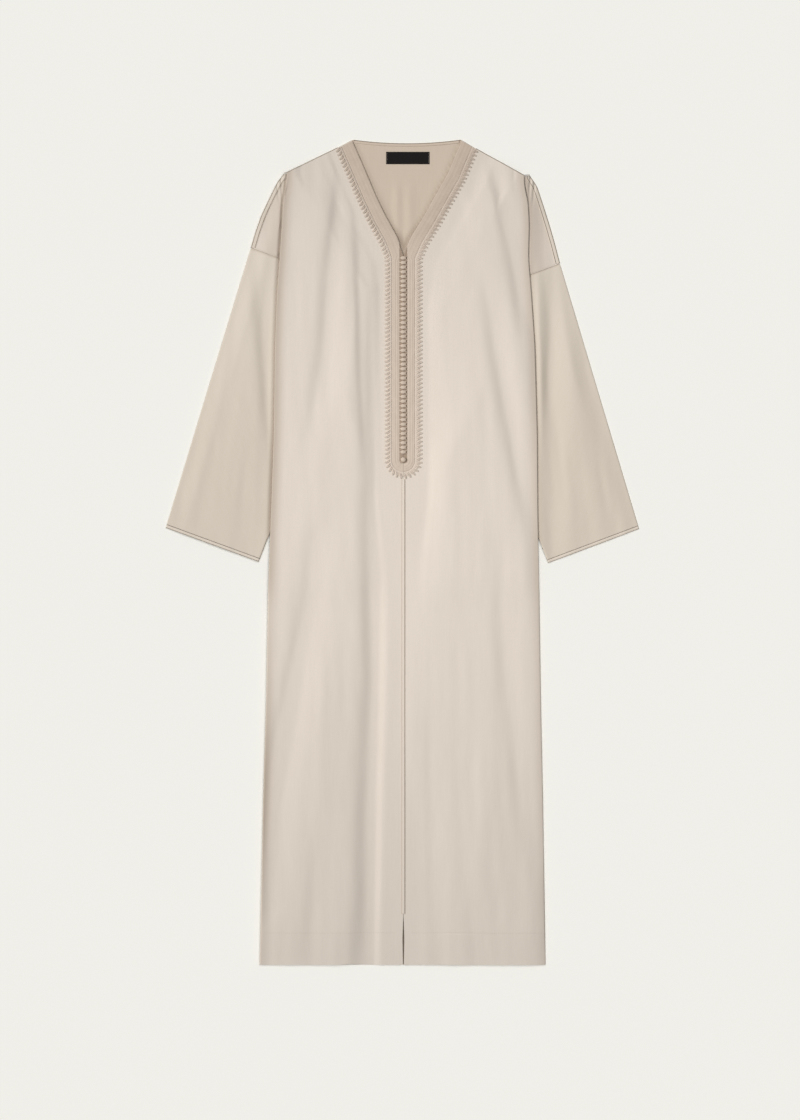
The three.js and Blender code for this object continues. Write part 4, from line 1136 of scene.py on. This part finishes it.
# Leg of a tooth: offset from the trim's base, share of the lean, half the gap between the two legs,
# height and radius
TOOTH_LEG = [
    (EDGING_START + 2.6, 0.85, 1.5, 0.7, 0.6), (23.8, 0.66, 1.4, 1.15, 0.85), (25.4, 0.45, 1.2, 1.3, 0.9),
    (27.0, 0.24, 1.0, 1.25, 0.85), (28.6, 0.1, 0.85, 1.15, 0.8), (30.0, 0.02, 0.72, 1.05, 0.75),
    (31.2, 0, 0.6, 0.95, 0.65), (31.75, 0, 0.3, 0.9, 0.6),
]


def out_and_back(out, back):
    return np.concatenate([out, back[::-1]])


def tooth_loop(side, line, middle):
    """One looped cord: two legs from the inner braid that meet at the tooth's rounded tip."""
    offset, lean, spread, rise, thick = np.array(TOOTH_LEG).T
    lean = side.sign * STRAND_LEAN * lean
    places = np.clip(middle + out_and_back(lean - spread, lean + spread), 0.3, line.length - 0.2)
    x, y = on_line(line, places, out_and_back(offset, offset))
    x = keep_side(side, x, 0.9)
    z = bed_top(x, y, side) + out_and_back(rise, rise)
    return tube(stacked(x, y, z), out_and_back(thick, thick), 8, 0.85)


PLAIT_SLANT = 5
PLAIT_PITCH = TOOTH_PITCH / 2


def edging_braid(side, line):
    """The inner strip of the edging: two flat plaits beside each other, over a thin ground."""
    distance = spaced(0, line.length, 1.1)[:, None]
    share = np.linspace(0, 1, 15)[None, :]
    x, y = on_line(line, distance, mix(EDGING_START, EDGING_ROOT + 0.6, share))
    x = keep_side(side, x, SEAM_GAP / 2)
    floor = bed_top(x, y, side) + TRIM_GAP
    slant = distance + side.sign * PLAIT_SLANT * share
    plaits = np.abs(np.sin(share * math.pi * 2)) * (0.75 + 0.25 * np.sin(slant * 2 * math.pi / PLAIT_PITCH))
    inner_part = smooth(0.95, 0.4, share)
    top = floor + 0.4 + 0.75 * plaits * inner_part
    return strip_wall(x, y, floor, top, side.sign < 0)


def toothed_edging(side, line):
    parts = [edging_braid(side, line)]
    teeth = int(round(line.length / TOOTH_PITCH))
    for tooth in range(teeth):
        parts.append(tooth_loop(side, line, (tooth + 0.5) / teeth * line.length))
    return joined(parts)


for side in SIDES:
    line = trim_line(side)
    make_piece(f"neck_band_{side.name}_braid", plain_band(side, line), band_braid,
               [f"neck_band_{side.name}"])
    make_piece(f"toothed_edging_{side.name}_cord", toothed_edging(side, line), edging_cord,
               [f"toothed_edging_{side.name}"], smooth_angle=70)


# Knot buttons


def wound_ball(centre, size, rows=18, columns=26, strands=3, depth=0.09):
    """A round knot: strands that cross over each other in two directions."""
    polar = np.linspace(0, math.pi, rows)[:, None]
    around = (np.arange(columns) * 2 * math.pi / columns)[None, :]
    first = np.abs(np.sin(strands * around / 2 + polar * 1.5))
    second = np.abs(np.sin(strands * around / 2 - polar * 1.5))
    over = np.maximum(first ** 0.6, second ** 0.6) * np.sin(polar) ** 0.5
    reach = 1 - depth + depth * over
    x = reach * np.sin(polar) * np.cos(around) * size[0] / 2
    z = reach * np.sin(polar) * np.sin(around) * size[2] / 2
    y = reach * np.cos(polar) * np.ones_like(around) * size[1] / 2
    points = stacked(x, y, z).reshape(-1, 3) + np.array(centre)
    return points, grid_quads(rows, columns, ring=True)[:, ::-1]


LOOP = SimpleNamespace(x=5.6, reach=2.4, half_width=2.6, low=1.2, rise=1.6, radius=0.75)
STEM = SimpleNamespace(x=-6.6, length=2.6, low=0.8, rise=1.0, radius=1.0)


def loop_cord(y, seat):
    """The cord that holds a knot: out of the right band, over the knot's right end and back."""
    bend = np.linspace(-math.pi / 2, math.pi / 2, 9)
    x = CENTRE_X + LOOP.x - LOOP.reach * np.cos(bend)
    path_y = y + LOOP.half_width * np.sin(bend)
    z = seat + LOOP.low + LOOP.rise * np.cos(bend)
    return tube(stacked(x, path_y, z), LOOP.radius, 7)


def stem_cord(y, seat):
    """Short stem from the left band to the knot."""
    share = np.linspace(0, 1, 5)
    x = CENTRE_X + STEM.x + STEM.length * share
    z = seat + STEM.low + STEM.rise * share
    return tube(stacked(x, np.full(5, y), z), STEM.radius, 7)


def all_knots():
    balls, cords = [], []
    for i in range(KNOTS):
        y = mix(KNOT_TOP_Y, KNOT_BOTTOM_Y, i / (KNOTS - 1))
        seat = float(bed_top(CENTRE_X, y)) + 0.1
        size = KNOT_SIZE * KNOT_WOUND
        balls.append(wound_ball((CENTRE_X - 0.3, y, seat + size[2] / 2), size))
        cords += [loop_cord(y, seat), stem_cord(y, seat)]
    return joined(balls + cords)


knot_names = [f"knot_button_{i + 1:02d}" for i in range(KNOTS)]
make_piece("knot_buttons_wound", all_knots(), knot_cord, knot_names, smooth_angle=80)

end_seat = float(bed_top(CENTRE_X, END_BUTTON_Y)) + 0.1
end_ball = wound_ball((CENTRE_X, END_BUTTON_Y, end_seat + END_BUTTON_SIZE[2] / 2),
                      END_BUTTON_SIZE * END_BUTTON_WOUND, 24, 32, 4, 0.14)
make_piece("end_button_wound", end_ball, knot_cord, ["end_button"], smooth_angle=80)

# Dark strip in the channel that the knots lie in: painted shadow where the opening lies in shade


def channel_strip():
    """One strip on each front, from its edge to the band, from the V to the round lower end."""
    parts = []
    for side in SIDES:
        y = spaced(V_POINT_Y + 17, TRIM_ARC_Y - 5.6, 2.0)[:, None]
        edge = side.sign * (at_height(NECK_EDGE, y, side.column) - CENTRE_X)
        outer = np.sqrt((BUTTON_CHANNEL - 0.2) ** 2 - np.maximum(0, TRIM_ARC_Y - y) ** 2)
        inner = np.clip(edge + 0.1, SEAM_GAP / 2, outer - 0.2)
        share = np.linspace(0, 1, 6)[None, :]
        x = CENTRE_X + side.sign * mix(inner, outer, share)
        plan_y = y + 0 * share
        floor = bed_top(x, plan_y, side) + 0.02
        top = floor + 0.25 + 0.2 * np.sin(share * math.pi)
        parts.append(strip_wall(x, plan_y, floor, top, side.sign < 0))
    return joined(parts)


make_piece("placket_shadow_strip", channel_strip(), shadow_cord)

# Braid over the centre seam


BRAID_TOP_Y = TRIM_ARC_Y - EDGING_TIP - SEAM_GAP
# Strands of the braid: offset from the seam, radius, share of the radius in height, twist, sway, swell
SEAM_STRANDS = [(-2.5, 0.5, 0.8, 3.4, 0.12, 0.12), (0, 1.9, 0.32, 6.0, 0.05, 0.04),
                (2.5, 0.5, 0.8, 3.4, 0.12, 0.12)]
SEAM_MIDDLE = 1.85


def seam_braid():
    """A flat raised middle strand between two thin twisted cords."""
    y = spaced(BRAID_TOP_Y, SLIT_TOP_Y, 1.5)
    parts = []
    seat = bed_top(CENTRE_X, y)
    for offset, radius, flat, twist, sway, swell in SEAM_STRANDS:
        turns = 2 * math.pi * y / twist
        x = CENTRE_X + offset + sway * np.sin(turns + offset)
        radii = radius * (1 + swell * np.cos(turns))
        parts.append(tube(stacked(x, y, seat + radius * flat + 0.1), radii, 10, flat))
    return joined(parts)


braid = make_piece("centre_seam_braid_cord", seam_braid(), seam_cord, ["centre_seam_braid"],
                   smooth_angle=80, extra_materials=[seam_line])
use_second_material(braid, lambda face: abs(face.center.x * 1000 - CENTRE_X) > SEAM_MIDDLE)

# Shoulder ribbons over the outer strip of each shoulder extension


def ribbon_line(side, inner, from_inside):
    """Plan points along the ribbon, at a share of its width from its inner edge."""
    outer, crease = outer_point(side, inner), crease_point(side, inner)
    reach = np.hypot(outer[0] - crease[0], outer[1] - crease[1])
    strip = np.minimum(RIBBON_WIDTH, reach * 0.38)
    from_crease = 1 - strip * (1 - from_inside) / reach
    return mix_points(crease, outer, from_crease)


def shoulder_ribbon(side):
    inner = spaced(700, 536, 2.0)[:, None]
    share = np.linspace(0, 1, 13)[None, :]
    x, y = ribbon_line(side, inner, share)
    floor = extensions[side.name](x, y) + CLOTH / 2 + TRIM_GAP
    top = floor + 0.5 + 0.35 * np.sin(share * math.pi) + 0.06 * np.sin(inner / 4)
    return strip_wall(x, y, floor, top, side.sign < 0)


def edge_cord(x, y, z, radius, twist_mm=3.0):
    """A thin twisted cord along plan points."""
    path = stacked(x, y, z)
    gone = distances_along(path)
    return tube(path, radius * (1 + 0.1 * np.sin(gone * 2 * math.pi / twist_mm)), 8)


# Dark cords along each ribbon's edges and the shoulder seam: painted shadow lines
RIBBON_CORDS = (0.16, 0.9)
LEFT.line, RIGHT.line = shoulder_shadow_line, painted_shadow_line
for side in SIDES:
    make_piece(f"shoulder_ribbon_{side.name}_tape", shoulder_ribbon(side), ribbon,
               [f"shoulder_ribbon_{side.name}"])
    cords = []
    inner = spaced(700, 536, 1.5)
    for share in RIBBON_CORDS:
        x, y = ribbon_line(side, inner, share)
        cords.append(edge_cord(x, y, extensions[side.name](x, y) + CLOTH / 2 + 0.75, 0.55))
    # A painted shadow line on the shoulder seam, from the neck along the edge of the front to the shoulder
    # tip
    fold_y = side.upper[0][1]
    stations = np.array([(side.neck[0], 700), (float(fold_x(side, fold_y)), fold_y), side.upper[0][2:]])
    share = spaced(0, 1, 0.012)
    line_x = mix(side.neck[0] + side.sign * 24, side.upper[0][2], share)
    line_y = np.interp(side.sign * line_x, side.sign * stations[:, 0], stations[:, 1])
    cords.append(edge_cord(line_x, line_y, front_height(side, line_x, line_y) + CLOTH / 2, 0.6))
    make_piece(f"shoulder_shadow_cords_{side.name}", joined(cords), side.line, smooth_angle=80)

# Back neck binding and the blank label


def back_neck_binding():
    x = spaced(LEFT.neck[0] + NECK_BINDING.end, RIGHT.neck[0] - NECK_BINDING.end, 2.0)[:, None]
    share = np.linspace(0, 1, 9)[None, :]
    y = back_neck_y(x) - 0.4 - share * NECK_BINDING.width
    plan_x = x + 0 * share
    floor = CLOTH + shared_lift(plan_x, y) + TRIM_GAP
    top = floor + 0.45 + 0.7 * np.sqrt(np.clip(1 - (2 * share - 1) ** 2, 0, 1))
    return strip_wall(plan_x, y, floor, top, False)


make_piece("back_neck_binding_roll", back_neck_binding(), cloth_inside_shaded, ["back_neck_binding"])
# A dark cord along the top edge of the back neck: a painted shadow line
neck_shadow_x = spaced(LEFT.neck[0] + 3, RIGHT.neck[0] - 3, 2.0)
neck_shadow_y = back_neck_y(neck_shadow_x) - 0.9
neck_shadow_z = CLOTH + shared_lift(neck_shadow_x, neck_shadow_y) + 0.6
make_piece("back_neck_shadow_line", edge_cord(neck_shadow_x, neck_shadow_y, neck_shadow_z, 0.75), painted_shadow_line,
           smooth_angle=80)


def blank_label():
    x = LABEL.x + np.linspace(-0.5, 0.5, 75)[:, None] * LABEL.width
    y = LABEL.y + np.linspace(0.5, -0.5, 23)[None, :] * LABEL.height
    x, y = x + 0 * y, y + 0 * x
    edge = np.minimum(LABEL.width / 2 - np.abs(x - LABEL.x), LABEL.height / 2 - np.abs(y - LABEL.y))
    floor = CLOTH + shared_lift(x, y) + 0.1
    top = floor + 0.45 + 0.35 * smooth(0, 1.6, edge) + 0.12 * np.sin(x / 11) * smooth(0, 6, edge)
    return strip_wall(x, y, floor, top, False)


make_piece("neck_label_blank", blank_label(), label_weave, ["neck_label"])

# Sewing: rows of short stitches


def stitches(points, normal_lift, length=2.3, radius=0.22):
    """Small capsules along a line of plan points with their heights."""
    points = np.asarray(points, float)
    gone = distances_along(points)
    pitch = length * 1.45
    starts = np.arange(pitch / 2, gone[-1] - length, pitch)
    shares = np.linspace(0, 1, 5)
    rise = normal_lift * np.sin(shares * math.pi)
    parts = []
    for start in starts:
        at = start + shares * length
        path = stacked(*(np.interp(at, gone, points[:, k]) for k in range(3)))
        path[:, 2] += rise
        parts.append(tube(path, radius * (0.55 + 0.45 * np.sin(shares * math.pi)), 6))
    return parts


ARMHOLE_STITCH_OFFSET = 2.2


def sewing():
    parts = []
    for side in SIDES:
        x = spaced(CENTRE_X + side.sign * 12, fold_x(side, HEM_STITCH_Y) - side.sign * 5, 2.5)
        y = np.full(len(x), HEM_STITCH_Y + 1.4)
        parts += stitches(stacked(x, y, front_height(side, x, y) + CLOTH / 2), 0.25)
        start, end = armhole_point(side, 0), armhole_point(side, 1)
        share = spaced(0.02, 1 - 132 / ARMHOLE_LENGTH, 0.012)
        x, y = mix_points(start, end, share)
        y = y + ARMHOLE_STITCH_OFFSET
        parts += stitches(stacked(x, y, extensions[side.name](x, y) + CLOTH / 2), 0.25)
    for end_sign in (-1, 1):
        y = spaced(LABEL.y - LABEL.height / 2 + 1, LABEL.y + LABEL.height / 2 - 1, 1.5)
        x = np.full(len(y), LABEL.x + end_sign * (LABEL.width / 2 - 1.3))
        z = CLOTH + shared_lift(x, y) + 0.75
        parts += stitches(stacked(x, y, z), 0.2, 1.7, 0.18)
    return joined(parts)


make_piece("sewing_stitches", sewing(), thread, smooth_angle=80)

# Floor, light and camera, in metres

FLOOR_SIZE = 40.0
FLOOR_DROP = 0.0004
CAMERA_HEIGHT = 6.0
FRAME_HEIGHT = 1.904
FRAME_CENTRE = (-0.00425, -0.0136)
SENSOR = 36.0
OBJECT_TOP = 0.008


def make_floor():
    half = FLOOR_SIZE / 2
    mesh = bpy.data.meshes.new("floor")
    mesh.from_pydata([(-half, -half, 0), (half, -half, 0), (half, half, 0), (-half, half, 0)], [],
                     [(0, 1, 2, 3)])
    floor = bpy.data.objects.new("floor", mesh)
    floor.location.z = -FLOOR_DROP
    material, tree, shader = principled("floor_paper", 0.9, 0.0, 0.5, 0.1)
    grain = noise(tree, turned_coordinates(tree, 0), 400, 2.0)
    tree.links.new(mix_color(tree, grain, linear(243, 242, 236), linear(244, 243, 237)),
                   shader.inputs["Base Color"])
    mesh.materials.append(material)
    bpy.context.scene.collection.objects.link(floor)
    return floor


def studio_light(name, kind, place, aim, size, power, color, receivers):
    """A soft light: size is a disk's diameter, or a far light's angle in degrees."""
    data = bpy.data.lights.new(name, kind)
    if kind == "AREA":
        data.shape = "DISK"
        data.size = size
    else:
        data.angle = math.radians(size)
    data.energy = power
    data.color = color
    light = bpy.data.objects.new(name, data)
    light.location = place
    light.rotation_mode = "QUATERNION"
    light.rotation_quaternion = Vector(np.subtract(aim, place)).to_track_quat("-Z", "Y")
    bpy.context.scene.collection.objects.link(light)
    lit = bpy.data.collections.new(f"{name}_receivers")
    for receiver in receivers:
        lit.objects.link(receiver)
    light.light_linking.receiver_collection = lit
    return light


def make_light(floor):
    """A key from the left and a soft pool over the middle for the robe, an even wash for the floor."""
    world = bpy.data.worlds.new("studio")
    bpy.context.scene.world = world
    world.use_nodes = True
    background = world.node_tree.nodes["Background"]
    background.inputs["Color"].default_value = (1.0, 0.998, 0.993, 1.0)
    background.inputs["Strength"].default_value = 0.24
    warm, plain = (1.0, 0.99, 0.975), (1.0, 1.0, 1.0)
    studio_light("key", "SUN", (-2.4, 0.75, 2.7), (0, 0, 0), 26, 2.2, warm, pieces)
    studio_light("pool", "AREA", (0.03, 0.1, 1.15), (0.03, 0.1, 0), 0.6, 4.2, warm, pieces)
    studio_light("wash", "SUN", (0.3, 0.5, 4), (0, 0, 0), 50, 2.3, plain, [floor])


def make_camera():
    data = bpy.data.cameras.new("camera")
    data.sensor_width = SENSOR
    data.lens = SENSOR * (CAMERA_HEIGHT - OBJECT_TOP) / FRAME_HEIGHT
    data.clip_end = 100.0
    camera = bpy.data.objects.new("camera", data)
    camera.location = (*FRAME_CENTRE, CAMERA_HEIGHT)
    bpy.context.scene.collection.objects.link(camera)
    bpy.context.scene.camera = camera


make_light(make_floor())
make_camera()
bpy.context.scene.view_settings.view_transform = "Standard"
